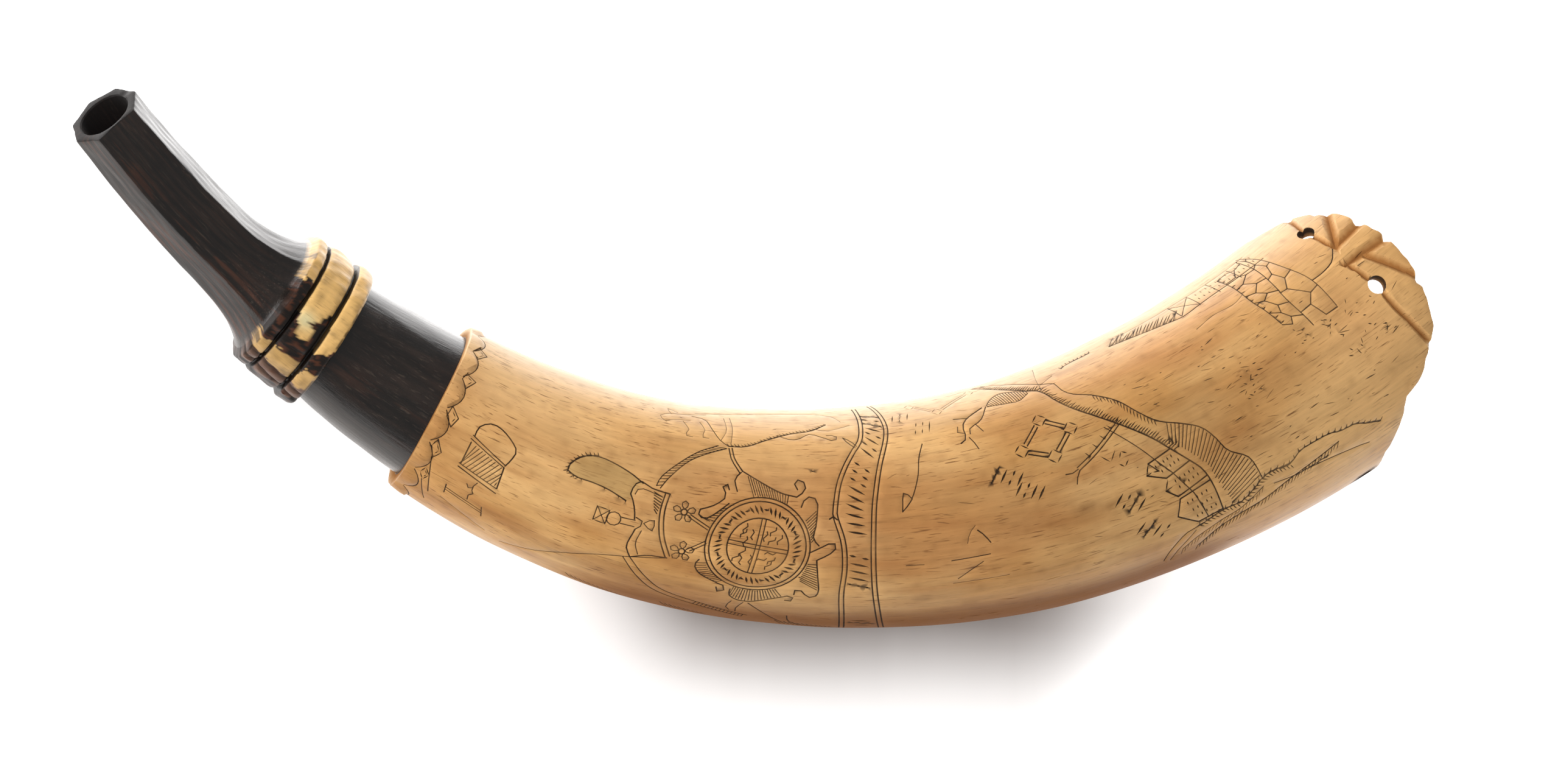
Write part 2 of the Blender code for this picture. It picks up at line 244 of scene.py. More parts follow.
def spout_radius(along, angle):
    start = SPOUT_LENGTH - COVE_LENGTH
    share = np.clip((along - start) / COVE_LENGTH, 0, 1)
    corner = MOUTH_CORNER_RADIUS + SPOUT_TAPER * min(along, start)
    flare = (RINGS[0][1] - corner) * (1 - np.sqrt(1 - share**2))
    roundness = np.clip((share - 0.25) / 0.75, 0, 1) ** 2
    radius = (corner + flare) * mix(facet_share(angle), 1.0, roundness)
    nick = np.exp(-(((along - 21.5) / 0.8) ** 2) - ((angle - 45) / 6.0) ** 2)
    return radius + 0.07 * ripple(along, angle, 22, 4) - 0.55 * nick


def body_radius(along):
    share = np.clip((along - COLLAR) / BODY_LENGTH, 0.0, 1.1)
    return COLLAR_RADIUS + (BUTT_RADIUS - COLLAR_RADIUS) * share**BODY_SWELL_POWER


def collar_edge(angle):
    return COLLAR + COLLAR_SLANT * lean_share(angle)


def scallop(angle):
    pitch = 360 / SCALLOPS
    return np.sin(math.pi * (((angle - FIRST_VALLEY) / pitch) % 1.0))


def scallop_end(angle):
    return collar_edge(angle) + SCALLOP_LENGTH * (0.32 + 0.68 * scallop(angle) ** 0.8)


def fan_edge(angle):
    """The rim: a plain edge that rises to the carved fan."""
    off = (angle - FAN_ANGLE + 180) % 360 - 180
    plain = RIM + RIM_RISE * np.maximum(0, np.cos(np.radians(off)))
    share = np.minimum(1, abs(off) / FAN_HALF_WIDTH)
    return plain + FAN_LENGTH * np.sqrt(1 - share**FAN_POWER)


NOTCHES = ((79.0, 0.9), (60.0, 1.3), (41.0, 1.2), (25.5, 1.1), (1.5, 1.0), (-29.0, 0.8))


def rim_along(angle):
    """The rim with a small notch where each of the fan's cuts runs out, and some wear."""
    edge = fan_edge(angle)
    for at, deep in NOTCHES:
        edge = edge - deep * np.clip(1 - abs(angle - at) / 3.2, 0, 1)
    return edge + 0.22 * ripple(np.zeros_like(angle), angle, 9, 21) - 0.25


def hollow_radius(along):
    mouth = mix(MOUTH_BORE_RADIUS, BORE_RADIUS, np.clip(along / MOUTH_BORE_DEPTH, 0, 1))
    wall = mix(BODY_WALL, BUTT_WALL, np.clip((along - COLLAR) / BODY_LENGTH, 0, 1))
    wide = body_radius(np.maximum(along, COLLAR)) - wall
    return mix(mouth, wide, ease((along - HOLLOW_START) / HOLLOW_TAPER))


# Strokes on the unrolled body.
# Each is (points, half width, depth, ink), its points in mm as (along, angle * DEG).

STROKES = []
CARVES = []
DICE = np.random.default_rng(7)

BOLD = (0.22, 0.15, 1.0)
PLAIN = (0.185, 0.13, 0.88)
FINE = (0.16, 0.10, 0.85)
MARK = (0.33, 0.16, 1.0)
FAINT = (0.14, 0.07, 0.55)
SHORTEST_CUT = 0.5


def flat(points):
    return np.asarray(points, float) * (1.0, DEG)


def length_of(path):
    return np.linalg.norm(np.diff(path, axis=0), axis=1).sum()


def ways(path):
    """The direction of a path at each of its points."""
    way = np.gradient(path, axis=0)
    return way / (np.linalg.norm(way, axis=1, keepdims=True) + 1e-9)


def widening(along):
    """How much wider the flat sheet is than the horn, at a place along it."""
    return FLAT_RADIUS / float(body_radius(along))


def resample(path, step):
    gaps = np.linalg.norm(np.diff(path, axis=0), axis=1)
    length = np.r_[0, np.cumsum(gaps)]
    count = max(2, int(round(length[-1] / step)) + 1)
    at = np.linspace(0, length[-1], count)
    return np.stack([np.interp(at, length, path[:, k]) for k in range(2)], -1)


def curve(points, step=1.5):
    """A smooth curve through given (along, angle) points, on the flat sheet."""
    path = flat(points)
    if len(path) < 3:
        return resample(path, step)
    ends = np.vstack((2 * path[0] - path[1], path, 2 * path[-1] - path[-2]))
    out = []
    for a, b, c, d in zip(ends, ends[1:], ends[2:], ends[3:]):
        square, cube = 2 * a - 5 * b + 4 * c - d, 3 * b - a - 3 * c + d
        for t in np.linspace(0, 1, 8, endpoint=False):
            out.append(0.5 * (2 * b + (c - a) * t + square * t**2 + cube * t**3))
    out.append(path[-1])
    return resample(np.array(out), step)


def beside(path, gap):
    """The path moved sideways by gap, to its left."""
    way = ways(path)
    return path + np.stack((-way[:, 1], way[:, 0]), -1) * gap


def cut(path, look=PLAIN):
    STROKES.append((np.asarray(path, float), *look))


def line(points, look=PLAIN, step=1.5):
    cut(curve(points, step), look)


def straight(points, look=PLAIN):
    for a, b in zip(points, points[1:]):
        cut(resample(flat((a, b)), 2.0), look)


def shape(points, look=PLAIN):
    straight([*points, points[0]], look)


def double(points, gap=0.9, look=PLAIN):
    path = curve(points)
    cut(beside(path, gap / 2), look)
    cut(beside(path, -gap / 2), look)
    return path


def flick(a, b, look=FINE):
    """One short straight cut that tapers at both ends."""
    if np.linalg.norm(b - a) > SHORTEST_CUT:
        cut((a, b), look)


def stick(a, b, look=PLAIN):
    """One short straight cut of even width."""
    if np.linalg.norm(b - a) > SHORTEST_CUT:
        cut((a, (a + b) / 2, b), look)


def hatch(first, second, spacing=0.9, look=FINE, lean=0, reach=(0.0, 1.0)):
    """Short cuts from one path across to another."""
    count = max(3, int(length_of(first) / spacing))
    one = resample(first, length_of(first) / count)
    two = resample(second, length_of(second) / count)
    count = min(len(one), len(two))
    for k in range(count):
        other = k + lean
        if 0 <= other < count:
            low = mix(one[k], two[other], reach[0] + DICE.uniform(0, 0.06))
            high = mix(one[k], two[other], reach[1] - DICE.uniform(0, 0.10))
            stick(low, high, look)


def ticks(path, length, spacing=1.0, look=FINE, tilt=0.0):
    """Short cuts that stand on a path, to its left if length is more than 0."""
    total = length_of(path)
    spots = resample(path, total / max(2, int(total / spacing)))
    for a, b, way in zip(spots, beside(spots, length), ways(spots)):
        size = DICE.uniform(0.7, 1.15)
        flick(a, a + (b - a) * size + way * tilt * abs(length), look)


def circle(centre, radius, look=PLAIN):
    turn = np.linspace(0, 2 * math.pi, max(12, int(radius * 6.28 / 1.2)))
    cut(flat(centre) + radius * np.stack((np.cos(turn), np.sin(turn) * widening(centre[0])), -1), look)


def rows_of_marks(path, height, spacing, look=PLAIN, seed=1):
    """A row of plain leaning cuts along a path: long ones and stacks of short ones."""
    dice = np.random.default_rng(seed)
    spots = resample(path, spacing)
    up = beside(spots, 1.0) - spots
    for spot, u, way in zip(spots, up, ways(spots)):
        rise = (u + 0.35 * way) * height / 2
        kind = dice.choice(3, p=(0.50, 0.32, 0.18))
        if kind == 0:
            flick(spot - rise, spot + rise, look)
        elif kind == 1:
            flick(spot - rise, spot - 0.2 * rise, look)
            flick(spot + 0.2 * rise, spot + rise, look)
        else:
            for share in (-0.8, 0.0, 0.8):
                flick(spot + share * rise - 0.2 * rise, spot + share * rise + 0.2 * rise, look)


def draw_collar():
    pitch = 360 / SCALLOPS
    for k in range(SCALLOPS):
        start = (FIRST_VALLEY + pitch * k + 180) % 360 - 180
        turn = np.linspace(start + 0.8, start + pitch - 0.8, 9)
        turn = turn[turn < 178]
        if len(turn) > 2:
            cut(np.stack((scallop_end(turn) + 0.15, turn * DEG), -1))
    tabs = (
        ((106.2, 60), (108.5, 55), (106.6, 49), (104.7, 54)),
        ((105.6, 34), (108.5, 31), (107.0, 24), (105.2, 29)),
        ((106.3, 9.5), (108.9, 4), (108.3, -3), (106.2, 2)),
        ((107.4, -14), (109.6, -21), (108.6, -27), (106.9, -20)),
        ((108.7, -36), (110.2, -41), (109.6, -47), (108.2, -42)),
    )
    for tab in tabs:
        shape(tab)
        middle = np.mean(tab, axis=0)
        inner = [tuple(middle + 0.55 * (np.array(c) - middle)) for c in tab]
        straight(inner[:3], FINE)
    line(((108.3, -27), (110.2, -40), (112.2, -55)))
    line(((109.4, -47), (111.0, -57), (112.6, -66)), FINE)


def draw_basket():
    line(((114.1, -0.6), (114.1, 6), (116.3, 11), (119.7, 10), (123.8, 3.5), (124, -3), (123.3, -9)), BOLD)
    straight(((113.7, -0.6), (123.4, -8.6)))
    straight(((113.6, -3), (123.1, -10)))
    straight(((114.1, -5), (114.5, -20.7)), BOLD)
    straight(((123.3, -10), (124.1, -24.5)), BOLD)
    straight(((114.1, -20.7), (124.1, -24.5)))
    straight(((114.3, -23), (124.4, -27.7)), BOLD)
    for k in range(12):
        x = 113.2 + 0.92 * k
        low = (max(x, 114.3), mix(-20.7, -24.5, (x - 114.1) / 10))
        high = (x + 2.3, mix(-5.0, -11.5, (x + 2.3 - 114.1) / 10))
        if high[0] > 123.5:
            high = (123.5, -14.0 - 3.0 * (k - 9))
        straight((low, high), FINE)
    line(((119.9, -27), (119.4, -33), (120.7, -35), (119.6, -37), (119.9, -42)))
    line(((118.0, -31), (118.8, -33.5), (119.6, -31.5)), FINE)
    straight(((114.8, -42), (123.9, -45)))
    straight(((114.9, -44), (124.1, -46.8)))
    straight(((114.4, -39.5), (115.0, -47)))
    straight(((123.4, -42), (124.4, -49.5)))
    straight(((114.9, -52.5), (126.9, -62)), FAINT)


LEAF_TOP = curve((
    (136.5, 4), (136.7, 9), (139.1, 15.2), (142.4, 17.6), (146.3, 16.6), (150.8, 13.4), (154.1, 9.5),
))
LEAF_LOW = curve(((136.5, 4), (139, 2), (142.9, 2), (146.9, 0.8), (151.3, -2.4)))
LEAF_EDGE = np.vstack((LEAF_TOP, LEAF_LOW[::-1]))


def draw_leaf_and_ribbon():
    cut(LEAF_TOP, BOLD)
    cut(LEAF_LOW, BOLD)
    ticks(LEAF_LOW, -0.5, 1.9, FINE, 0.3)
    ticks(LEAF_TOP[:7], 1.1, 0.9, FINE, -0.4)
    ticks(LEAF_LOW[:3], -1.2, 0.9, FINE, -0.6)
    line(((151.9, 2), (152.2, 7), (153.6, 10.5), (156.3, 8), (160.8, 6.7)), BOLD)
    line(((151.9, 2), (153.0, -2), (153.9, -7), (154.4, -11.5)), BOLD)
    line(((152.9, 2.4), (153.4, 6.0), (155.0, 6.4), (158.6, 4.6)), FINE)
    double(((160.2, 7), (159.9, -4), (161.1, -17), (163.6, -29)), 1.0, BOLD)
    line(((163.6, -30), (159.7, -31), (156.1, -35)), BOLD)
    line(((156.1, -35), (154.6, -28), (155.2, -17)), BOLD)
    line(((157.5, -32), (156.2, -25), (156.6, -17)), FINE)
    edge = curve(((157.0, 6.2), (157.4, 1.0), (158.2, -5.0)))
    other = curve(((159.4, 5.8), (159.2, 1.0), (158.8, -5.5)))
    hatch(edge, other, 0.7, PLAIN, 1)
    line(((154.6, -10.2), (156.6, -12.5), (155.0, -17.5)))
    line(((156.6, -12.5), (158.6, -9.0), (158.8, -16.0), (156.6, -12.5)), FINE)
    shape(((145.7, -10), (148.6, -10.4), (148.6, -19), (145.8, -18.6)))
    straight(((145.7, -10), (148.6, -19)), FINE)
    straight(((148.6, -10.4), (145.8, -18.6)), FINE)
    circle((150.0, -14.4), 1.6)
    straight(((151.6, -12.4), (154.6, -12)))
    straight(((151.6, -16), (154.8, -15.8)))
    outer = curve(((157.2, 10), (158, 16), (161.3, 25), (165.8, 34), (170.8, 40)))
    inner = curve(((158.2, 9), (159.9, 16.5), (163.6, 27), (168, 33.5), (173, 38.5)))
    cut(outer)
    cut(inner)
    hatch(outer, inner, 0.95, FINE, 1)


def draw_flowers():
    for (x, y), stem in (((164.7, -1.6), (170.8, -8.6)), ((166.2, -24), (170.8, -16.5))):
        middle = flat((x, y))
        for k in range(5):
            way = math.radians(72 * k + 20)
            tip = middle + 2.7 * np.array((math.cos(way), math.sin(way)))
            side = 0.85 * np.array((-math.sin(way), math.cos(way)))
            root = mix(middle, tip, 0.25)
            belly = mix(middle, tip, 0.68)
            loop = np.array((root, belly + side, tip, belly - side, root))
            cut(curve(loop / (1.0, DEG), 0.9))
        circle((x, y), 0.7, BOLD)
        path = curve(((x + 1.4, y + (stem[1] - y) * 0.22), stem))
        cut(beside(path, 0.35))
        cut(beside(path, -0.35))


ROUNDEL = (182.2, -15.6)
ROUNDEL_REACH = 11.8


def draw_roundel():
    for radius in (11.5, 10.6, 6.75):
        circle(ROUNDEL, radius, BOLD)
    middle = flat(ROUNDEL)
    wide = widening(ROUNDEL[0])

    def spot(turn, radius):
        way = math.radians(turn)
        return middle + radius * np.array((math.cos(way), math.sin(way) * wide))

    for way in (-6, 84):
        for sign in (-1, 1):
            a = spot(way + sign * 4.0, 6.6)
            b = spot(way + 180 - sign * 4.0, 6.6)
            cut(resample(np.array((a, b)), 1.6))
    # a ring of leaning cuts in threes, as a plain border
    for k, turn in enumerate(np.arange(4, 362, 7.2)):
        if k % 4 == 3:
            flick(spot(turn - 1.5, 8.7), spot(turn + 2.5, 8.8), MARK)
        else:
            low, high = (7.5, 10.0) if k % 2 else (7.8, 9.7)
            flick(spot(turn - 3, low), spot(turn + 3, high), MARK)
    # small wavy marks in the four quarters
    for turn, radius, tilt in (
        (30, 3.4, 50), (52, 4.9, 60), (24, 5.1, 70), (62, 3.0, 80),
        (118, 3.2, 95), (140, 4.6, 60), (158, 3.1, 80), (128, 5.3, 75),
        (206, 3.4, 70), (228, 4.8, 100), (250, 3.4, 95), (214, 5.3, 60),
        (292, 3.2, 20), (318, 4.6, 50), (336, 3.2, 10), (304, 5.2, 60),
    ):
        at = spot(turn, radius)
        way = np.array((math.cos(math.radians(tilt)), math.sin(math.radians(tilt))))
        side = np.array((-way[1], way[0]))
        bends = (at - way * 0.45 + side * 0.4, at + way * 0.4 - side * 0.35)
        wave = np.array((at - way * 1.2, *bends, at + way * 1.2))
        cut(curve(wave / (1.0, DEG), 0.8))


def draw_scrolls():
    def scroll(points, inward=6.0, spacing=0.7):
        """A bold curve with cuts from it towards the roundel."""
        path = curve(points, 1.2)
        cut(path, BOLD)
        toward = flat(ROUNDEL) - path
        length = np.linalg.norm(toward, axis=1, keepdims=True)
        inner = path + toward / length * np.minimum(inward, np.maximum(length - ROUNDEL_REACH, 0.3))
        hatch(path[1:-1], inner[1:-1], spacing, FINE, 1, (0.06, 1.0))

    double(((173.9, 39), (174.6, 32), (176.7, 24.5)), 0.8, BOLD)
    line(((176.7, 24.5), (175.3, 20), (176.1, 13.5)), BOLD)
    scroll(((177.2, 25), (181.2, 20), (186.1, 14.5), (190, 12.4)))
    line(((190, 12.4), (191.9, 16), (191.9, 20), (190.6, 22), (189.4, 20.4), (190.2, 16.4)), BOLD)
    line(((191.1, 7), (192.0, 11.6), (193.9, 12.7), (194.9, 8.6)), BOLD)
    scroll(((194.9, 8.6), (194.8, 3), (194.6, -3), (194.2, -9), (195.6, -13)))
    line(((193.6, -17), (196, -14), (198.3, -11.4), (199.6, -13), (198.3, -17), (195.6, -20.7)), BOLD)
    scroll(((195.4, -21), (196.1, -30), (196.9, -40), (196.5, -44)))
    line(((196.7, -43.6), (195, -45), (193.3, -40.5), (191.9, -40), (191.9, -43.6)), BOLD)
    scroll(((190.6, -45), (187.2, -48.4), (183.3, -52.3), (180.6, -52.3), (178.6, -49), (178.4, -44)))
    line(((190.6, -45), (191.9, -46), (191.6, -49), (190.3, -48.4)), BOLD)
    scroll(((170.3, -27), (169.7, -31), (171.1, -36), (174.4, -40), (176.6, -42)))
    line(((176.7, -42), (177.2, -46), (175.9, -47.6), (175.4, -44)), BOLD)
    line(((174.2, 14), (173.9, 17), (172.6, 15.6), (173.6, 10), (171.1, 4.5), (168.2, 1.4)), BOLD)
    scroll(((168.2, 1.4), (168.1, -2.4), (169.8, -3), (171.4, -0.5), (174.5, 6.5)), 1.6, 0.8)
    line(((183, -54), (187, -63), (191.7, -75)))
    line(((179.5, -54), (178.8, -60), (179.8, -64)), FINE)
    line(((182.0, -54), (181.0, -60), (181.2, -65)), FINE)
    line(((193.6, 27.2), (194.2, 26.8)), BOLD)


def draw_animal():
    """A standing hoofed animal, cut lightly along the top."""
    line(((164, 62), (167.5, 60), (169.2, 52), (171.2, 44), (173.5, 40)), FINE)
    belly = curve(((173.5, 40), (178, 41), (183, 46.5), (189, 52), (195, 55), (199, 60)))
    cut(belly)
    ticks(belly, 1.0, 0.9, FINE, -0.5)
    line(((165, 66), (172, 69), (184, 73), (195, 74), (201, 69), (203, 62)), FAINT)
    line(((171.5, 44), (173.0, 52), (172.6, 64)), FAINT)
    line(((174.0, 42), (174.6, 54), (174.2, 65)), FAINT)
    line(((186, 51), (188, 48.4), (191, 48), (194.2, 52), (197.4, 49), (199.4, 46.6)), FINE)
    line(((199.4, 46.6), (201.2, 47.5), (200.6, 50), (198.4, 50.4)), FINE)
    line(((196, 56), (199, 54.4), (202.2, 56), (205, 58)), FAINT)
    line(((157, 53), (159.5, 56), (163.5, 57)), FAINT)
    line(((157, 53), (155.2, 57), (158, 61), (163, 63), (168, 66)), FAINT)
    line(((158.4, 61), (157.2, 67), (160.2, 63.4)), FAINT)
    line(((161.5, 55.5), (163.2, 49), (162.0, 44.5), (164.2, 44)), FAINT)
    line(((166, 57), (167.4, 50), (166.4, 45), (168.4, 44.4)), FAINT)
    for x, y in ((160.5, 59.5), (150, 60), (153, 64)):
        straight(((x, y), (x + 1.0, y - 1.4)), FAINT)


def draw_banner():
    left = double((
        (208.3, 78), (208.0, 60), (206.7, 46), (204.3, 38), (201.8, 29), (199.9, 19), (199.0, 8.0),
        (199.0, 2), (200.9, -11), (201.7, -25), (201.9, -42), (203.4, -62), (205.2, -84),
    ), 1.0, BOLD)
    right = double((
        (213.0, 82), (214.0, 60), (213.4, 47), (210.4, 29.6), (208.8, 17), (207.8, 3), (207.7, -17),
        (208.6, -36), (210.4, -55), (213.6, -84),
    ), 1.0, BOLD)
    line(((197.6, 1), (198.4, 2.4), (199.4, 0.6)), BOLD)
    one, two = (resample(edge, length_of(edge) / 90) for edge in (left, right))
    count = min(len(one), len(two))
    middle = (one[:count] + two[:count]) / 2
    for low, high, seed in ((66, 36, 4), (29, -7, 5), (-19, -38, 6), (-66, -76, 8)):
        part = middle[(middle[:, 1] < low * DEG) & (middle[:, 1] > high * DEG)]
        if len(part) > 2:
            rows_of_marks(part, 4.6, 1.9, MARK, seed)
    line(((202.4, 48), (203.4, 44), (205.0, 40.5)))
    line(((202.4, 48), (204.2, 45), (205.4, 41.4)))


def draw_scratches():
    line(((221.7, 38), (220, 30), (218.9, 20), (216.7, 8.6), (214.4, 3)))
    line(((214.4, 3), (215.0, 12.7), (216.9, 9.0)))
    rows_of_marks(curve(((216.6, 60), (220.6, 60))), 3.0, 1.7, PLAIN, 12)
    rows_of_marks(curve(((221.4, 49), (225.0, 49))), 4.0, 1.8, PLAIN, 15)
    line(((228.6, -17), (229.2, -12), (230.6, -8.5)), FAINT)
    line(((231.0, -11), (232.4, -14), (233.8, -18.5)))
    line(((225, -25), (233.6, -24.5)), FINE)
    line(((232.0, -28), (229.8, -31), (226.6, -36)), FINE)
    line(((225.6, -38.5), (237.8, -38.5)), FAINT)
    line(((215, -25), (219, -25.4)), FAINT)


def draw_forts():
    for x, y in ((222.5, 70), (228.6, 59.5), (239.7, 73)):
        shape(((x - 1.5, y), (x, y + 3), (x + 1.5, y), (x, y - 3)), FAINT)
    for a, b in (((223.8, 68.4), (227.2, 61.4)), ((230.2, 61.0), (238.4, 71.6))):
        double((a, b), 0.7, FAINT)
    # the branching trail
    line(((231.1, 34), (232.8, 36.6), (233.1, 44), (235, 49), (240, 54.4)), BOLD)
    line(((234.2, 38.5), (234.7, 42), (238.3, 46), (241.1, 54.4)))
    line(((233.6, 36.6), (234.4, 33), (235, 29)))
    line(((235, 49), (231.6, 50.5)))
    line(((236.4, 43.8), (237.6, 38.4)))
    line(((232.8, 39.6), (231.2, 41.0), (231.8, 44.6)), FINE)
    upper = curve(((241.4, 55), (243.4, 59.5), (246.4, 62.4), (250.0, 60.0), (253.6, 56.2)))
    lower = curve(((241.4, 54), (243.9, 53.2), (246.8, 52.2), (249.8, 51.3), (253.0, 54.6)))
    cut(upper, FINE)
    cut(lower, FINE)
    hatch(upper, lower, 0.75, FINE, 1)
    # the square fort on its point
    corners = {"top": (251.8, 35.3), "left": (244.9, 22.2), "right": (258.2, 25.8), "bottom": (252.1, 15.1)}
    for x, y in corners.values():
        shape(((x - 1.9, y), (x, y + 3.6), (x + 1.9, y), (x, y - 3.6)), BOLD)
    for a, b in (("top", "left"), ("top", "right"), ("bottom", "left"), ("bottom", "right")):
        start, end = np.array(corners[a]), np.array(corners[b])
        double((tuple(mix(start, end, 0.20)), tuple(mix(start, end, 0.80))), 0.9, BOLD)
    for a, b, seed in (
        ((237.2, 14), (242.6, 9), 31), ((241.8, 4.5), (246.8, 0), 32),
        ((263.6, -15), (268.4, -21), 33), ((267.4, -33), (272.8, -39.5), 34),
    ):
        rows_of_marks(curve((a, b)), 3.6, 1.9, MARK, seed)
    # the forked path
    double(((269.9, 20), (266.1, 15.6), (261.1, 10), (256.4, 5.6)), 0.8)
    line(((256.4, 5.6), (254.8, 4.6), (253.2, 5.0)))
    line(((256.6, 4.6), (255.6, 1.6), (255.2, -1)))
    for x, y in ((267.6, 17.4), (265.0, 14.2), (262.6, 11.6), (260.2, 8.8)):
        straight(((x, y), (x - 1.2, y + 3.4)), FINE)


def draw_river():
    low = curve((
        (241.7, 79), (247.2, 67), (252.8, 57.6), (256.1, 53), (258.3, 43), (261.1, 35), (265.6, 26),
        (270, 17.5), (275, 7), (278.3, -1.6), (281.7, -10.5), (283.9, -17), (285.3, -26), (286.7, -42),
    ))
    cut(low, BOLD)
    ticks(low[: int(len(low) * 0.74)], 2.0, 0.62, FINE, 0.5)
    high = curve((
        (244.4, 79), (248.9, 72), (253.9, 64), (257.8, 58), (260.7, 55), (261.1, 49), (262.8, 43.6),
        (267.2, 38), (271.7, 30), (275, 20), (278.3, 12.4), (282.8, 7), (286.7, 1.6), (288.9, -5),
        (290.8, -14), (294.2, -20), (295.6, -24.5), (296.9, -34.7),
    ))
    cut(high)
    middle = high[int(len(high) * 0.40):int(len(high) * 0.62)]
    ticks(middle, -1.5, 0.8, FINE, 0.7)
    hatch(high[int(len(high) * 0.63):], low[int(len(low) * 0.70):], 0.95, FINE, 1, (0.0, 0.84))
    line(((256.7, 53), (257.6, 64), (260, 78)), FAINT)
    line(((257.2, 57.5), (262, 62)), FAINT)


def draw_coast():
    shore = curve((
        (280.8, -45), (286.7, -41.7), (291.1, -42), (294.4, -38.5), (296.9, -35), (300, -34),
        (304, -35.5), (307, -32), (310, -31.5), (315, -32), (318, -34), (322, -35), (324, -37.5),
        (328.5, -42),
    ))
    cut(shore)
    ticks(shore, 1.0, 1.6, FINE, 0.4)
    ticks(shore[: len(shore) // 2], -1.4, 0.9, FINE, 0.8)
    second = curve((
        (317, -38.5), (310, -41), (303, -43.5), (297, -47), (290.6, -49), (285.3, -52), (280.6, -59),
    ))
    cut(second)
    ticks(second, 1.6, 0.9, FINE, 0.8)
    line(((308, -43), (315, -45), (322, -48), (325, -50)), FINE)
    line(((299.5, -41), (306, -43), (314, -42.6)), FINE)
    third = curve(((296.9, -39.5), (291.2, -45.4), (286.0, -47.6), (280.2, -52), (277, -57)))
    cut(third, FINE)
    ticks(third, 1.6, 0.9, FAINT, 0.9)
    line(((280.8, -45), (277.2, -47), (273.9, -55), (272.8, -61.4)))
    line(((280, -47), (276, -56), (274.4, -62.7)), FINE)


def draw_houses():
    line(((265.8, 20), (267.5, 15.6), (271.4, 5), (274.4, -4.5), (276.9, -12)), FINE)
    straight(((276.9, -12), (280.6, -26)))
    straight(((280.6, -26), (283.1, -42)))
    straight(((272.2, -4), (271.1, -9), (275.3, -13.7)), BOLD)
    straight(((272.2, -4), (278.3, -1.6)), BOLD)
    straight(((275.3, -13.7), (281.7, -10.5)), BOLD)
    straight(((271.1, -9), (272.6, -8.4), (274.2, -9.2), (272.2, -4)))
    straight(((275.6, -14), (274.4, -19.4), (276.9, -24.5)), BOLD)
    straight(((276.9, -24.5), (284.4, -20.7)), BOLD)
    straight(((274.4, -19.4), (276.4, -18.6)), FINE)
    straight(((277.2, -26), (276, -34.7), (280.6, -42.3)), BOLD)
    straight(((280.6, -42.3), (286.7, -41)), BOLD)
    straight(((277.2, -26), (284.9, -23.4)), BOLD)
    for start, step, count in (
        ((273.6, -5.6), (1.05, 0.45), 5), ((274.7, -8.6), (1.1, 0.45), 5), ((277.0, -15.6), (1.2, 0.5), 5),
        ((277.6, -19.0), (1.2, 0.5), 5), ((278.6, -28.6), (1.2, 0.5), 5), ((279.6, -33.2), (1.15, 0.5), 5),
        ((280.4, -37.6), (1.15, 0.45), 5),
    ):
        for k in range(count):
            x, y = start[0] + step[0] * k, start[1] + step[1] * k
            straight(((x, y), (x + 0.25, y - 2.2)), BOLD)
    straight(((265.8, 1.4), (267, -1), (268.4, 1.8)))
    straight(((266.4, 3.5), (267.2, 6.5), (268.6, 4.4)))
    straight(((262.2, 8), (264.2, 3.4), (266.2, 8.4)), FINE)


def stones(low, high, count, seed):
    """A row of rough stones between two paths: a broken middle line with joints up and down."""
    dice = np.random.default_rng(seed)
    one = resample(low, 0.5)
    two = resample(high, 0.5)
    last = None
    for k in range(count + 1):
        share = np.clip((k + dice.uniform(-0.2, 0.2)) / count, 0, 1)
        a = one[int(share * (len(one) - 1))]
        b = two[int(share * (len(two) - 1))]
        knot = mix(a, b, (0.62 if k % 2 else 0.34) + dice.uniform(-0.08, 0.08))
        if last is not None:
            stick(last, knot)
        if k % 2:
            stick(knot, b + (0, dice.uniform(-0.4, 0.4)))
        else:
            stick(a + (0, dice.uniform(-0.4, 0.4)), knot)
        last = knot


def draw_town():
    """The long building and the stone wall, cut along the top of the butt."""
    low = curve((
        (280, 64), (288.3, 61), (295.6, 58), (300.6, 56), (306.7, 57.4), (313.3, 58.5), (328.9, 59),
    ))
    cut(low)
    high = curve(((282.2, 69), (290, 69.6), (299.4, 70), (314, 70.5), (327, 71)))
    cut(high, FAINT)
    part = low[: int(len(low) * 0.4)]
    ticks(part, 3.6, 0.9, FINE, 0.9)
    for x in (300.4, 306.6, 313.2, 320.4):
        straight(((x, 57), (x + 0.3, 70)), FINE)
    straight(((300.6, 57), (306.6, 69)), FINE)
    straight(((300.8, 69), (306.4, 58)), FINE)
    for x in np.arange(308.0, 327.0, 1.7):
        straight(((x, 60.4), (x + 0.1, 63.2)))
        straight(((x + 0.7, 65.2), (x + 0.8, 68.0)), FINE)
    row = curve(((265.5, 65), (268, 67), (275, 67.5)))
    cut(row, FINE)
    ticks(row, 1.2, 1.1, FINE, 0.3)
    inner = curve(((316.0, 66), (316.2, 55), (315.9, 41), (316.7, 32), (317.4, 23)))
    middle = curve(((324.6, 70), (324.4, 55), (323.4, 40), (322.8, 30), (323.6, 14)))
    outer = curve(((325.6, 73), (327.7, 62), (329.4, 46), (331.3, 32), (331.4, 15)))
    for path in (inner, middle, outer):
        cut(path)
    stones(middle, outer, 9, 61)
    stones(inner, middle, 12, 62)
    ticks(inner, 1.3, 1.5, PLAIN)
    line(((331.4, 31), (335, 31), (339, 32.6), (342.2, 37.7)))
    line(((300, 44), (306, 46), (312, 45), (316, 47)), FAINT)


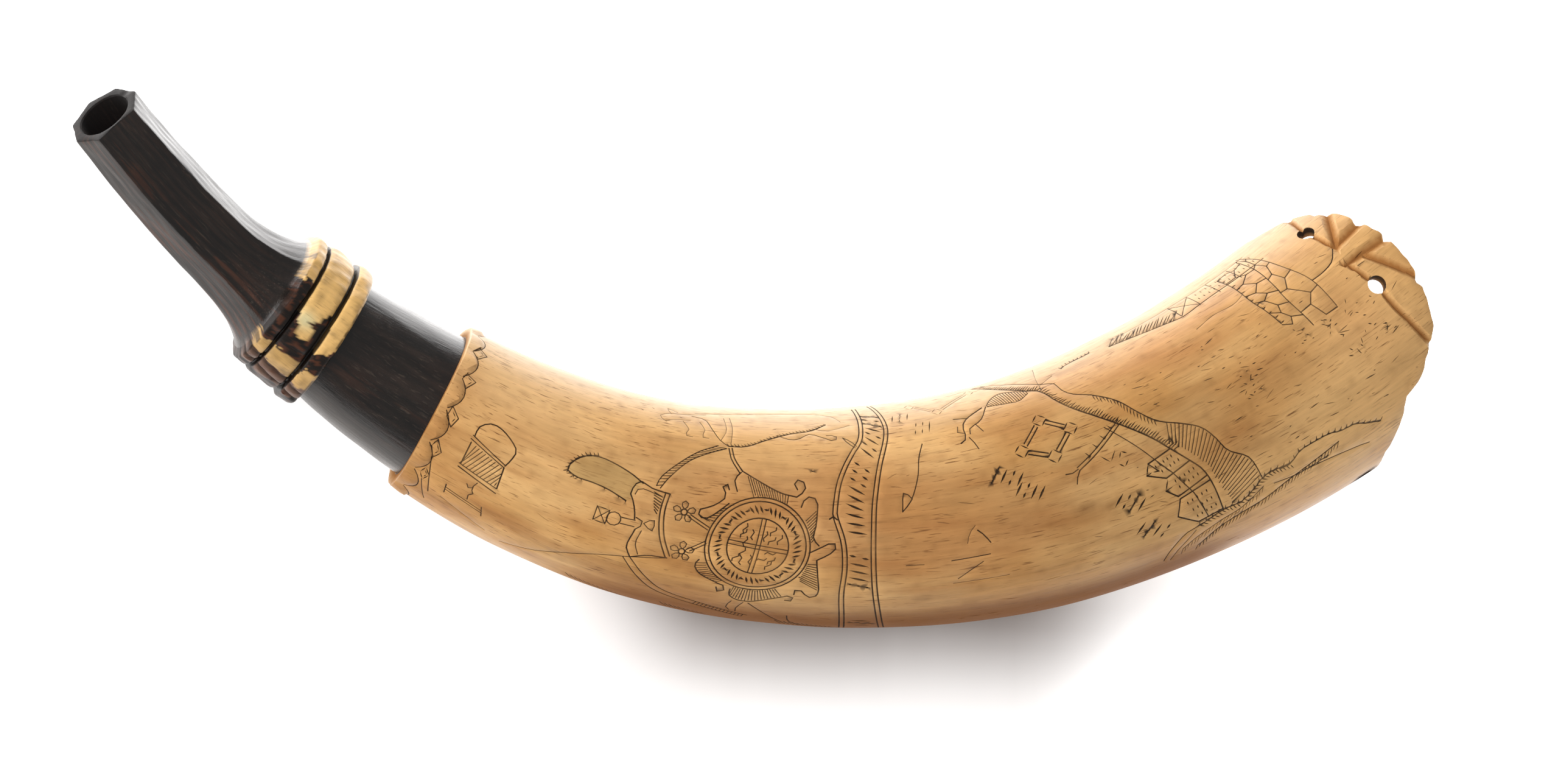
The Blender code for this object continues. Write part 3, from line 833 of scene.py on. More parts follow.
def draw_long_lines():
    arc = curve(((156.1, -35), (160.8, -47), (165.8, -56), (175.8, -63), (184, -69)))
    cut(arc)
    outer = curve(((154.7, -36), (159.4, -49), (164.6, -58.5), (174.6, -66), (183, -72)))
    cut(outer)
    hatch(arc[14:], outer[14:], 0.8, FINE, 1)
    line(((163.6, -30), (156.1, -35), (149.7, -40), (142.4, -49), (136.9, -58), (130.8, -66.5)), FINE)
    for a, b in (((146.0, -70), (158.0, -78)), ((166, -72), (176, -79)), ((190, -72), (203, -80))):
        one, two = curve((a, b)), curve(((a[0] + 1, a[1] - 7), (b[0] + 1, b[1] - 6)))
        hatch(one, two, 1.0, PLAIN, 1)
    line(((192, -64), (193, -72), (196, -80)))


def draw_fan():
    """The fan's cuts. A point is (share of the fan's length past the axis's end, angle)."""
    for points, half, deep in (
        (((0.20, 83), (0.05, 74), (-0.22, 57), (-0.22, 38.5)), 1.15, 1.0),
        (((0.85, 64), (0.62, 60), (-0.18, 37)), 1.5, 1.25),
        (((1.3, 41.2), (-0.18, 37.5)), 1.4, 1.2),
        (((1.3, 25.3), (-0.40, 27.3)), 1.5, 1.25),
        (((0.95, -5), (0.75, 1.5), (0.13, 24.5)), 1.45, 1.25),
        (((0.30, -33), (0.22, -29), (-0.13, -3), (-0.19, 11.3), (-0.31, 24)), 1.1, 1.1),
    ):
        placed = [(AXIS_LENGTH + share * FAN_LENGTH, angle) for share, angle in points]
        CARVES.append((curve(placed, 1.2), half, deep))


def draw_nicks():
    """Old scratches, pits and cracks, more of them towards the butt."""
    dice = np.random.default_rng(19)
    drawn = Ink(STROKES)
    for count, (low, high), (bottom, top), size, (pale, dark) in (
        (190, (262, 346), (-36, 40), 3.6, (0.25, 0.7)),
        (110, (112, 296), (-75, 66), 4.6, (0.15, 0.42)),
        (26, (318, 328), (4, 24), 1.5, (0.7, 1.0)),
        (26, (326, 340), (-8, 14), 1.6, (0.6, 1.0)),
        (14, (299, 306), (2, 18), 1.4, (0.6, 0.9)),
    ):
        for _ in range(count):
            a = flat((dice.uniform(low, high), dice.uniform(bottom, top)))
            way = math.radians(dice.normal(-2, 9 if size > 2 else 35))
            reach = dice.uniform(0.6, size)
            look = (dice.uniform(0.10, 0.19), 0.07, dice.uniform(pale, dark))
            b = a + reach * np.array((math.cos(way), math.sin(way)))
            if min(drawn.gap(*p) for p in (a, (a + b) / 2, b)) > 0.7:
                flick(a, b, look)


# The mesh


class Skin:
    """Collects points as (along, angle, radius) and faces between them."""

    def __init__(self):
        self.along, self.angle, self.radius, self.ink, self.dirt_and_shade = [], [], [], [], []
        self.faces, self.kinds = [], []

    def add(self, along, angle, radius, ink=0.0, dirt_and_shade=0.0):
        arrays = np.broadcast_arrays(np.asarray(along, float), angle, radius, ink, dirt_and_shade)
        start = sum(len(a) for a in self.along)
        for store, values in zip((self.along, self.angle, self.radius, self.ink, self.dirt_and_shade), arrays):
            store.append(np.array(values, float))
        return np.arange(start, start + len(arrays[0]))

    def bridge(self, first, second, kind):
        count = len(first)
        for k in range(count):
            after = (k + 1) % count
            self.faces.append((first[k], first[after], second[after], second[k]))
            self.kinds.append(kind)

    def grow(self, row, kind, along, radius, ink=0.0, dirt_and_shade=0.0):
        """Adds a ring of points at TURNS, joins it to the row before and returns it."""
        here = self.add(along, TURNS, radius, ink, dirt_and_shade)
        self.bridge(row, here, kind)
        return here

    def gathered(self):
        return [np.concatenate(s) for s in (self.along, self.angle, self.radius, self.ink, self.dirt_and_shade)]


def outline(points, half):
    """The closed outline round a stroke and its middle line, as points and edges."""
    if len(points) == 2:
        a, b = points
        way = (b - a) / np.linalg.norm(b - a)
        side = np.array((-way[1], way[0])) * half
        middle = (a + b) / 2
        tip = min(0.35, 0.2 * np.linalg.norm(b - a))
        corners = np.array((a, middle + side, b, middle - side, a + way * tip, b - way * tip))
        return corners, [(0, 1), (1, 2), (2, 3), (3, 0), (4, 5)]
    left, right = beside(points, half), beside(points, -half)
    first = points[0] - (points[1] - points[0]) / np.linalg.norm(points[1] - points[0]) * half
    last = points[-1] + (points[-1] - points[-2]) / np.linalg.norm(points[-1] - points[-2]) * half
    n = len(points)
    every = np.vstack((points, left, right, first, last))
    edges = []
    for base in (0, n, 2 * n):
        edges += [(base + k, base + k + 1) for k in range(n - 1)]
    edges += [(3 * n, n), (3 * n, 2 * n), (3 * n + 1, 2 * n - 1), (3 * n + 1, 3 * n - 1)]
    return every, edges


def distance_to(path, points):
    best = np.full(len(points), 1e9)
    for a, b in zip(path, path[1:]):
        way = b - a
        share = np.clip(((points - a) @ way) / (way @ way), 0, 1)
        best = np.minimum(best, np.linalg.norm(points - a - share[:, None] * way, axis=1))
    return best


def groove_depth(points):
    """How deep the fan's cuts are at points of the flat sheet."""
    deep = np.zeros(len(points))
    for path, half, depth in CARVES:
        wide = np.minimum(1.0, (points[:, 0] - (AXIS_LENGTH - 12)) / 14)
        near = distance_to(path, points)
        deep = np.maximum(deep, depth * np.clip(1 - near / (half * np.maximum(wide, 0.5)), 0, 1))
    return deep


class Ink:
    """Finds how dark and how deep the strokes are at a point."""

    def __init__(self, strokes):
        rows = []
        for points, half, depth, ink in strokes:
            if len(points) == 2:
                way = points[1] - points[0]
                length = np.linalg.norm(way)
                tip = min(0.35, 0.2 * length) / length
                fine = resample(np.array((points[0] + way * tip, points[1] - way * tip)), 0.12)
            else:
                fine = resample(points, 0.12)
            rows.append(np.column_stack((fine, np.tile((half, depth, ink), (len(fine), 1)))))
        self.rows = np.vstack(rows)
        self.tree = KDTree(len(self.rows))
        for k, (x, y) in enumerate(self.rows[:, :2]):
            self.tree.insert((x, y, 0), k)
        self.tree.balance()
        self.widest = float(self.rows[:, 2].max())

    def at(self, points):
        ink, deep = np.zeros(len(points)), np.zeros(len(points))
        for k, (x, y) in enumerate(points):
            for _, i, gap in self.tree.find_range((x, y, 0), self.widest):
                share = 1 - gap / self.rows[i, 2]
                if share > 0:
                    ink[k] = max(ink[k], min(1.0, share * 1.15) * self.rows[i, 4])
                    deep[k] = max(deep[k], share * self.rows[i, 3])
        return ink, deep

    def gap(self, x, y):
        return self.tree.find((x, y, 0))[2]


def flat_patch(skin, low, high, radius_at, kind, holes, strokes, carves, spacing):
    """Fills the unrolled band between two edges, both given at each of TURNS.

    Returns the two edges' point numbers and each hole's ring of point numbers.
    """
    points, edges = [], []

    def loop(path, closed=False):
        start = len(points)
        points.extend(map(tuple, path))
        n = len(path)
        edges.extend((start + k, start + k + 1) for k in range(n - 1))
        if closed:
            edges.append((start + n - 1, start))
        return list(range(start, start + n))

    turns = np.append(TURNS, 180.0)
    low_all, high_all = np.append(low, low[0]), np.append(high, high[0])
    low_edge = loop(np.column_stack((low_all, turns * DEG)))
    high_edge = loop(np.column_stack((high_all, turns * DEG)))
    count = max(2, int((high[0] - low[0]) / spacing))
    seam = np.linspace(low[0], high[0], count + 1)[1:-1]
    sides = []
    for angle, k in ((-180.0, 0), (180.0, -1)):
        side = loop(np.column_stack((seam, np.full(len(seam), angle * DEG))))
        edges.append((low_edge[k], side[0]))
        edges.append((side[-1], high_edge[k]))
        sides.append(side)
    rings = []
    turn = np.arange(HOLE_SIDES) * 2 * math.pi / HOLE_SIDES
    for along, angle, reach in holes:
        wide = FLAT_RADIUS / float(radius_at(np.array([along]), np.array([angle]))[0])
        path = (along + reach * np.cos(turn), angle * DEG + reach * np.sin(turn) * wide)
        rings.append(loop(np.column_stack(path), True))
    ink = Ink(strokes) if strokes else None
    for path, half, *_ in strokes:
        every, links = outline(path, half)
        start = len(points)
        points.extend(map(tuple, every))
        edges.extend((start + a, start + b) for a, b in links)
    for path, half, _ in carves:
        for side in (-half, 0.0, half):
            moved = beside(path, side)
            limit = np.interp(moved[:, 1] / DEG, turns, high_all) - 1.1
            loop(moved[moved[:, 0] < limit])
    # a plain grid of points between the strokes, coarser on the far side
    for gap, engraved in ((spacing, True), (spacing * FAR_SIDE_SPACING, False)):
        levels = np.arange(-180 * DEG + gap, 180 * DEG - gap / 2, gap * 0.866)
        for row, y in enumerate(levels, 1):
            angle = y / DEG
            if (abs(angle) < ENGRAVED_REACH) != engraved:
                continue
            start = np.interp(angle, turns, low_all) + 0.55 * gap
            end = np.interp(angle, turns, high_all) - 0.55 * gap
            for x in np.arange(low.min() - gap + (row % 2) * gap / 2, end, gap):
                if x < start:
                    continue
                if ink and engraved and ink.gap(x, y) < STROKE_CLEARANCE:
                    continue
                if any(math.hypot(x - a, y - t * DEG) < r + HOLE_CLEARANCE for a, t, r in holes):
                    continue
                points.append((x, y))
    result = delaunay_2d_cdt([Vector(p) for p in points], edges, [], 0, 1e-5, True)
    out = np.array([tuple(v) for v in result[0]])
    number = {source: k for k, sources in enumerate(result[3]) for source in sources}
    weld = {number[b]: number[a] for a, b in zip(sides[0], sides[1])}
    weld[number[low_edge[-1]]] = number[low_edge[0]]
    weld[number[high_edge[-1]]] = number[high_edge[0]]
    angle = out[:, 1] / DEG
    marks, deep = ink.at(out) if ink else (np.zeros(len(out)), np.zeros(len(out)))
    dirt_and_shade = np.zeros(len(out))
    if carves:
        furrow = groove_depth(out)
        deep = deep + furrow
        dirt_and_shade = np.clip(furrow, 0, 1)
    numbers = skin.add(out[:, 0], angle, radius_at(out[:, 0], angle) - deep, marks, dirt_and_shade)
    triangles = np.array([t for t in result[2] if len(t) == 3])
    middle = out[triangles].mean(axis=1)
    at = middle[:, 1] / DEG
    keep = middle[:, 0] > np.interp(at, turns, low_all)
    keep &= middle[:, 0] < np.interp(at, turns, high_all)
    for ring in rings:
        wide = np.array([out[number[r]] for r in ring])
        centre = wide.mean(axis=0)
        size = np.abs(wide - centre).max(axis=0)
        keep &= (((middle - centre) / size) ** 2).sum(axis=1) > 1.0
    for triangle in triangles[keep]:
        corners = [numbers[weld.get(k, k)] for k in triangle]
        if len(set(corners)) == 3:
            skin.faces.append(tuple(corners))
            skin.kinds.append(kind)

    def ids(these):
        return np.array([numbers[weld.get(number[k], number[k])] for k in these])

    return ids(low_edge[:-1]), ids(high_edge[:-1]), [ids(r) for r in rings]


# The numbers of the materials, and the angles of the cuts worn into the band
CREAM, DARK, BAND, INSIDE = 0, 1, 2, 3
WORN_CUTS = (-49.0, -60.0)


def skin_radius(along, angle):
    """The body's outside: the swell of the horn, the collar's scallops, and slight waves."""
    radius = body_radius(along)
    within = np.clip((scallop_end(angle) - along) / 0.55, 0, 1)
    start = np.clip((along - collar_edge(angle)) / 0.9, 0, 1)
    pad = (SCALLOP_HEIGHT + 0.12) * ease(within) * (0.45 + 0.55 * scallop(angle)) * (0.75 + 0.25 * start)
    waves = 0.10 * ripple(along, angle, 46, 2, 2) * ease((along - COLLAR) / 20)
    return radius + pad + waves


def ring_rows():
    """(along, radius, ring) down the band, fine enough for its rounded rings and sharp grooves."""
    rows = []
    start = SPOUT_LENGTH
    for i, (width, radius) in enumerate(RINGS):
        for t in (0.0, 0.03, 0.09, 0.18, 0.32, 0.5, 0.68, 0.82, 0.91, 0.97, 1.0):
            off = abs(2 * t - 1)
            rows.append((start + t * width, radius + 0.18 * (1 - off**2) - 0.42 * off**7, i))
        start += width
        if i < len(RING_GROOVES):
            gap, deep = RING_GROOVES[i]
            for t in (0.3, 0.7):
                rows.append((start + t * gap, radius - deep, i))
            start += gap
    return rows


def build_skin():
    skin = Skin()
    low = collar_edge(TURNS)
    rim = rim_along(TURNS)
    holes = [(along, angle, PEG_HOLE_RADIUS) for along, angle in PEG_HOLES]
    strokes = []
    turns = np.append(TURNS, 180.0)
    edge = np.append(rim, rim[0]) - 1.6
    start = np.append(low, low[0]) + 0.5
    for points, half, depth, ink in STROKES:
        x, y = points.T
        good = (x < np.interp(y / DEG, turns, edge)) & (x > np.interp(y / DEG, turns, start))
        clear = all(np.hypot(x - a, y - t * DEG).min() > r + 0.8 for a, t, r in holes)
        if good.all() and clear:
            strokes.append((points, half, depth, ink))
    first, last, rings = flat_patch(
        skin, low, rim - 0.8, skin_radius, CREAM, holes, strokes, CARVES, BODY_SPACING
    )

    # the rim: rounded over from the outside to the hollow
    deep = groove_depth(np.column_stack((rim, TURNS * DEG)))
    outer = skin_radius(rim, TURNS)
    inner = hollow_radius(rim)
    row = last
    for back, share, extra in ((0.30, 0.05, 1.0), (0.02, 0.22, 0.95), (0.0, 0.5, 0.7), (0.05, 0.8, 0.3)):
        radius = np.maximum(mix(outer, inner, share) - deep * extra, inner + 0.25)
        row = skin.grow(row, CREAM, rim - back, radius, 0.0, 0.15)
    start = np.full(len(TURNS), FINE_HOLLOW_START)
    near, far, wells = flat_patch(
        skin, start, rim - 0.7, lambda along, angle: hollow_radius(along), INSIDE, holes, [], [],
        HOLLOW_SPACING
    )
    skin.bridge(row, far, INSIDE)
    for ring, well in zip(rings, wells):
        along, angle, radius = (s[ring] for s in skin.gathered()[:3])
        # painted shade: the walls of the peg holes are made dark through high ink and dirt values
        wall = skin.add(along, angle, radius - HOLE_WALL_DROP, 0.9, 1.0)
        skin.bridge(ring, wall, INSIDE)
        skin.bridge(wall, well, INSIDE)
    # the edge of the low peg hole is dark
    skin.ink[0][rings[2]] = 0.8
    row = near
    # the bore near the mouth is painted near-black: painted shade inside the hole
    for along in HOLLOW_ROWS:
        soil_and_shade, kind = (1.0, DARK) if along < SHADED_BORE_END else (0.6, INSIDE)
        row = skin.grow(row, kind, along, hollow_radius(along), 0.0, soil_and_shade)

    # the mouth's lip and the spout
    corner = spout_radius(0.0, TURNS)
    chip = 0.35 * np.exp(-(((TURNS - 112) / 9.0) ** 2))
    for along, share in ((0.05, 0.12), (0.0, 0.35), (0.0, 0.75)):
        row = skin.grow(row, DARK, along + chip, mix(MOUTH_BORE_RADIUS, corner, share), 0.0, 0.75)
    row = skin.grow(row, DARK, 0.12 + chip, corner - 0.12, 0.0, 0.75)
    for along in (0.5, *np.arange(1.6, 38.0, 1.3), *np.arange(38.5, SPOUT_LENGTH - 0.2, 0.9)):
        row = skin.grow(row, DARK, slanted(along, TURNS), spout_radius(along, TURNS))
    # the band, with two worn cuts near its lower edge
    for along, radius, ring in ring_rows():
        worn = 0.0
        for at in WORN_CUTS:
            worn = worn + 0.85 * np.clip(1 - abs(TURNS - at + 0.4 * (along - 66)) / 3.4, 0, 1)
        tool = 0.13 * ripple(along, TURNS, 9, 30 + ring, 2)
        row = skin.grow(row, BAND, slanted(along, TURNS), radius + tool - worn)
    for share in (0.004, 0.03, *np.linspace(0.08, 0.95, 22), 0.985, 0.998):
        along = BAND_END + share * NECK_LENGTH
        radius = mix(NECK_FRONT_RADIUS, NECK_BACK_RADIUS, share)
        row = skin.grow(row, DARK, slanted(along, TURNS), radius + 0.05 * ripple(along, TURNS, 30, 9))
    step = skin_radius(low, TURNS)
    for share, back in ((0.12, 0.02), (0.55, -0.02), (0.9, -0.12)):
        edge = low + 0.15 * (share - 1) + back
        row = skin.grow(row, CREAM, edge, mix(NECK_BACK_RADIUS, step, share), 0.0, 1 - share)
    skin.bridge(row, first, CREAM)
    return skin


# Colours

AMBER = np.array((0.51, 0.268, 0.090))
PALE = np.array((0.60, 0.356, 0.145))
PINK = np.array((0.43, 0.190, 0.073))
TAN = np.array((0.35, 0.155, 0.047))
OLIVE = np.array((0.34, 0.185, 0.040))
# the pale colour of a painted highlight on the horn's upper side
TOP_HIGHLIGHT = np.array((0.70, 0.54, 0.37))
LEAF_GREEN = np.array((0.28, 0.195, 0.070))
BROWN = np.array((0.13, 0.046, 0.011))
BLACK = np.array((0.0065, 0.0045, 0.0035))
SOOT = np.array((0.015, 0.009, 0.0065))
OCHRE = np.array((0.66, 0.40, 0.140))
RUST = np.array((0.10, 0.030, 0.012))
GREY = np.array((0.050, 0.041, 0.030))
MAUVE = np.array((0.20, 0.115, 0.080))
STRAW = np.array((0.66, 0.60, 0.34))
INK_COLOUR = (0.018, 0.011, 0.007)

# Both grooves of the band, as (start, end) along the horn
GROOVES = ((62.2, 62.9), (70.5, 71.5))

# Name, roughness, fibres, bump, index of refraction, mottle, pores, colour of the pores, of the dirt and
# painted shade
HORN_MATERIALS = (
    ("cream_horn", 0.38, 0.12, 0.20, 1.24, 0.08, 0.9, (0.11, 0.040, 0.013), (0.27, 0.100, 0.022)),
    ("dark_horn", 0.22, 0.35, 0.24, 1.58, 0.35, 0.28, (0.10, 0.072, 0.052), (0.004, 0.003, 0.003)),
    ("ring_horn", 0.34, 0.12, 0.30, 1.42, 0.12, 0.5, (0.060, 0.024, 0.010), (0.030, 0.014, 0.008)),
    ("inner_horn", 0.55, 0.16, 0.40, 1.40, 0.25, 0.8, (0.05, 0.020, 0.008), (0.12, 0.045, 0.018)),
)


def painted(tone, *layers):
    """The tone with layers of (colour, amount) laid over it, one after the other."""
    for colour, amount in layers:
        tone = tone + (colour - tone) * np.clip(amount, 0, 1)[:, None]
    return tone


def inside(ring, points):
    """1 where a point of the flat sheet lies inside a closed ring, and 0 elsewhere."""
    odd = np.zeros(len(points), bool)
    for (ax, ay), (bx, by) in zip(ring, np.roll(ring, -1, axis=0)):
        if ay != by:
            across = ax + (points[:, 1] - ay) / (by - ay) * (bx - ax)
            odd ^= ((points[:, 1] > ay) != (points[:, 1] > by)) & (points[:, 0] < across)
    return odd.astype(float)


def blob(along, angle, x, y, wide, tall):
    return np.exp(-(((along - x) / wide) ** 2) - ((angle - y) / tall) ** 2)


def body_colour(along, angle):
    tone = painted(
        np.tile(AMBER, (len(along), 1)),
        (PALE, 0.45 + 0.5 * ripple(along * 0.55, angle, 34, 11)),
        (TAN, 0.16 + 0.26 * ripple(along * 0.16, angle, 7, 12)),
    )
    for x, y, wide, tall, colour, amount in (
        (195, 8, 34, 30, PINK, 0.40),
        (236, 2, 24, 16, TAN, 0.28),
        (225, -20, 22, 18, PINK, 0.40),
        (306, 4, 22, 16, TAN, 0.40),
        (282, 45, 26, 16, PINK, 0.30),
        (262, 18, 30, 12, OLIVE, 0.18),
        (256.0, -12.5, 2.6, 2.4, BROWN, 0.55),
        (262.0, -15.5, 2.2, 2.0, BROWN, 0.50),
        (330, 45, 22, 30, PALE, 0.55),
        (342, 0, 14, 40, PALE * 1.3, 0.65),
        (333, 2, 9, 24, PINK * 1.2, 0.30),
        # these three patches lighten the butt's lower side: painted light
        (324, -18, 20, 22, PALE * 1.25, 0.70),
        (294, -34, 20, 12, PALE * 1.1, 0.65),
        (312, -44, 26, 15, PALE * 1.4, 0.70),
        (190, 8, 70, 18, TAN, 0.24),
        # a painted highlight on the upper side near the collar
        (118, 50, 20, 24, TOP_HIGHLIGHT * 1.1, 0.45),
        (310, 52, 40, 12, PINK * 1.25, 0.30),
        (120, 34, 24, 30, PALE * 1.15, 0.50),
        (160, -48, 26, 8, BROWN, 0.25),
        (106, -10, 3.5, 80, TAN, 0.45),
    ):
        tone = painted(tone, (colour, amount * blob(along, angle, x, y, wide, tall)))
    seen = angle < 150
    belly = ease((along - 140) / 25) * ease((300 - along) / 25) * (angle > -150)
    pits = ripple(along, angle, 5.0, 17, 3)
    return painted(
        tone,
        # painted light: paler towards the upper side, and a painted highlight along the top edge
        (PALE * 1.2, 0.45 * ease((angle - 20) / 30) * seen * ease((260 - along) / 60)),
        (TOP_HIGHLIGHT, 0.55 * ease((angle - 40) / 36) * seen),
        # painted shade: the belly darker on its lower side
        (TAN, 0.8 * ease((-42 - angle) / 30) * belly),
        (BROWN, 0.75 * ease((-50 - angle) / 20) * belly),
        (LEAF_GREEN, 0.42 * inside(LEAF_EDGE, np.column_stack((along, angle * DEG)))),
        (BROWN, 0.20 * np.clip(pits - 0.85, 0, 1)),
    )


def dark_colour(along, angle):
    spout = along < SPOUT_LENGTH
    red = ease((ripple(along * 0.12, angle, 4, 43) - 0.35) / 0.5) * np.where(spout, 1.0, 0.4)
    front = np.exp(-(((angle + 16) / 10.0) ** 2)) + 0.25
    low = ease((-24 - angle) / 12) * (angle > -110) * spout
    # the neck is greyer on its lower side: partly wear, partly a painted reflection
    worn = ease((-38 - angle) / 30) * (angle > -120) * ~spout
    # a painted highlight: a faint grey round the mouth's lip
    lip_highlight = np.exp(-(((along - 0.25) / 0.25) ** 2)) * (0.6 + 0.4 * ripple(along, angle, 8, 47))
    return painted(
        np.tile(BLACK, (len(along), 1)),
        (SOOT, 0.3 + 0.4 * ripple(along * 0.14, angle, 5, 41)),
        (RUST, 0.26 * red * front),
        (GREY, 0.10 * low),
        (RUST, 0.45 * red * low),
        (GREY, 0.5 * worn),
        (GREY, 0.1 * lip_highlight),
    )


def band_colour(along, angle):
    """Ochre and black by turns round each ring, as the layers of the horn were cut through."""
    slant = np.interp(along, (39, 59, 78), (0.0, BAND_SLANT, 0.7 * BAND_SLANT))
    plain = along - slant * lean_share(angle)
    turn = angle + 1.8 * ripple(along, angle, 5, 51)
    ring_1 = plain < 62.4
    ring_2 = (plain >= 62.4) & (plain < 70.9)
    ring_3 = plain >= 70.9
    share = np.clip((plain - 62.9) / 7.6, 0, 1)
    taper = 18.0 * np.clip((share - 0.35) / 0.6, 0, 1) ** 1.4 + 7.0 * np.clip((0.14 - share) / 0.14, 0, 1)
    seen = turn < 150
    ochre = ring_1 & (turn > 31) & seen
    ochre |= ring_2 & (turn > -2 + taper) & seen
    ochre |= ring_3 & (turn > -13 + 10 * np.clip((plain - 71.5) / 4.3, 0, 1)) & seen
    ochre |= (turn < -28) & (turn > -46)
    ochre |= ring_2 & (turn < -2) & (turn > -11) & (share > 0.25) & (share < 0.7)
    shade = np.clip(0.93 + 0.14 * ripple(along, angle, 5, 53), 0.6, 1.0) * np.where(turn < -25, 0.72, 1.0)
    tip = blob(plain, angle, 65.4, 3.0, 2.4, 7.0) * ring_2
    red = ease((ripple(along, angle, 4, 55) - 0.3) / 0.4) * (angle < 40)
    rims = ((plain < 59.5) | (plain > BAND_END - 0.6)) & (angle < 60)
    tone = painted(
        np.tile(BLACK * 1.2, (len(along), 1)),
        (OCHRE, shade * ochre),
        (STRAW, 0.8 * tip * ochre),
        (MAUVE, 0.75 * ease((-44 - turn) / 4) * (turn > -66)),
        (SOOT, 0.6 * ease((-66 - turn) / 6) * (turn > -150)),
        (RUST, 0.5 * red * ~ochre),
        (SOOT, 0.7 * rims * ease(ripple(along, angle, 5, 57) + 0.6)),
    )
    for start, end in GROOVES:
        tone = painted(tone, (BLACK * 0.7, 0.95 * ((plain > start - 0.12) & (plain < end + 0.12))))
    for at in WORN_CUTS:
        worn = np.clip(1 - abs(angle - at + 0.4 * (along - 66)) / 2.4, 0, 1)
        tone = painted(tone, (BLACK, 0.85 * worn))
    return tone


def node(tree, kind, **values):
    """A new node. Each value is one of its settings, or else a constant on its socket."""
    made = tree.nodes.new(kind)
    for name, value in values.items():
        if hasattr(made, name):
            setattr(made, name, value)
        else:
            made.inputs[name].default_value = value
    return made


def new_material(name):
    material = bpy.data.materials.new(name)
    material.use_nodes = True
    return material, material.node_tree, material.node_tree.nodes["Principled BSDF"]


def horn_material(name, roughness, streak, bump, ior, speck, pores, dusk_colour, soil_and_shade_colour):
    """Horn: a painted tone, broken by fibres along the horn, with inked cuts and a soft gloss."""
    material, tree, shader = new_material(name)
    link = tree.links.new

    def attribute(which, output="Fac"):
        return node(tree, "ShaderNodeAttribute", attribute_name=which).outputs[output]

    def noise(source, **settings):
        made = node(tree, "ShaderNodeTexNoise", **settings)
        link(source, made.inputs["Vector"])
        return made.outputs["Fac"]

    def ramp(source, low, high, to_low, to_high):
        limits = {"From Min": low, "From Max": high, "To Min": to_low, "To Max": to_high}
        made = node(tree, "ShaderNodeMapRange", clamp=True, **limits)
        link(source, made.inputs["Value"])
        return made.outputs["Result"]

    def join(kind, a, b):
        made = node(tree, "ShaderNodeMath", operation=kind)
        link(a, made.inputs[0])
        link(b, made.inputs[1])
        return made.outputs[0]

    def cover(under, colour, share):
        made = node(tree, "ShaderNodeMix", data_type="RGBA")
        link(share, made.inputs["Factor"])
        link(under, made.inputs["A"])
        made.inputs["B"].default_value = (*colour, 1.0)
        return made.outputs["Result"]

    ink, dirt_and_shade = attribute("ink"), attribute("dirt_and_shade")
    grain = attribute("grain", "Vector")
    stretch = node(tree, "ShaderNodeMapping", Scale=(0.065, 1.0, 1.0))
    link(grain, stretch.inputs["Vector"])
    stretched = stretch.outputs["Vector"]
    fibre = noise(stretched, Scale=900.0, Detail=5.0, Roughness=0.65)
    broad = noise(stretched, Scale=240.0, Detail=3.0)
    thread = noise(stretched, Scale=2900.0, Detail=2.0)
    mottle = noise(grain, Scale=95.0, Detail=6.0, Roughness=0.6)
    fibres = ramp(fibre, 0.3, 0.7, 1.0 - streak, 1.0 + streak * 0.7)
    broads = ramp(broad, 0.3, 0.7, 1.0 - streak * 0.7, 1.0 + streak * 0.5)
    mottles = ramp(mottle, 0.3, 0.72, 1.0 - speck, 1.0 + speck * 0.6)
    scale = node(tree, "ShaderNodeVectorMath", operation="SCALE")
    link(attribute("tone", "Color"), scale.inputs[0])
    link(join("MULTIPLY", join("MULTIPLY", fibres, broads), mottles), scale.inputs["Scale"])
    # dark pores: short fine dashes that follow the fibre, thicker in some places
    pore = ramp(thread, 0.40, 0.30, 0.0, 1.0)
    streaks = ramp(fibre, 0.38, 0.26, 0.0, 0.45)
    places = ramp(mottle, 0.40, 0.62, 0.25 * pores, 0.9 * pores)
    pored = join("MULTIPLY", join("MAXIMUM", pore, streaks), places)
    colour = cover(scale.outputs["Vector"], dusk_colour, pored)
    # the dirt value darkens towards this colour: real dirt in the cuts, and painted shade on the belly, in
    # the bore and in the peg holes
    colour = cover(colour, soil_and_shade_colour, ramp(dirt_and_shade, 0.12, 0.85, 0.0, 0.80))
    worn = ramp(mottle, 0.35, 0.52, 0.80, 1.0)
    inked = join("MULTIPLY", ramp(ink, 0.04, 0.50, 0.0, 0.97), worn)
    link(cover(colour, INK_COLOUR, inked), shader.inputs["Base Color"])
    rough = ramp(mottle, 0.3, 0.7, roughness - 0.05, roughness + 0.09)
    rough = join("ADD", rough, ramp(ink, 0.0, 0.8, 0.0, 0.3))
    rough = join("ADD", rough, ramp(dirt_and_shade, 0.1, 0.8, 0.0, 0.6))
    link(rough, shader.inputs["Roughness"])
    softer = node(tree, "ShaderNodeMath", operation="MULTIPLY")
    link(mottle, softer.inputs[0])
    softer.inputs[1].default_value = 0.8
    relief = node(tree, "ShaderNodeBump", Strength=bump, Distance=0.0004)
    link(join("ADD", fibre, softer.outputs[0]), relief.inputs["Height"])
    link(relief.outputs["Normal"], shader.inputs["Normal"])
    shader.inputs["Metallic"].default_value = 0.0
    shader.inputs["IOR"].default_value = ior
    return material


def write_attribute(mesh, name, kind, field, values):
    made = mesh.attributes.new(name, kind, "POINT")
    made.data.foreach_set(field, np.asarray(values).ravel().astype(np.float32))


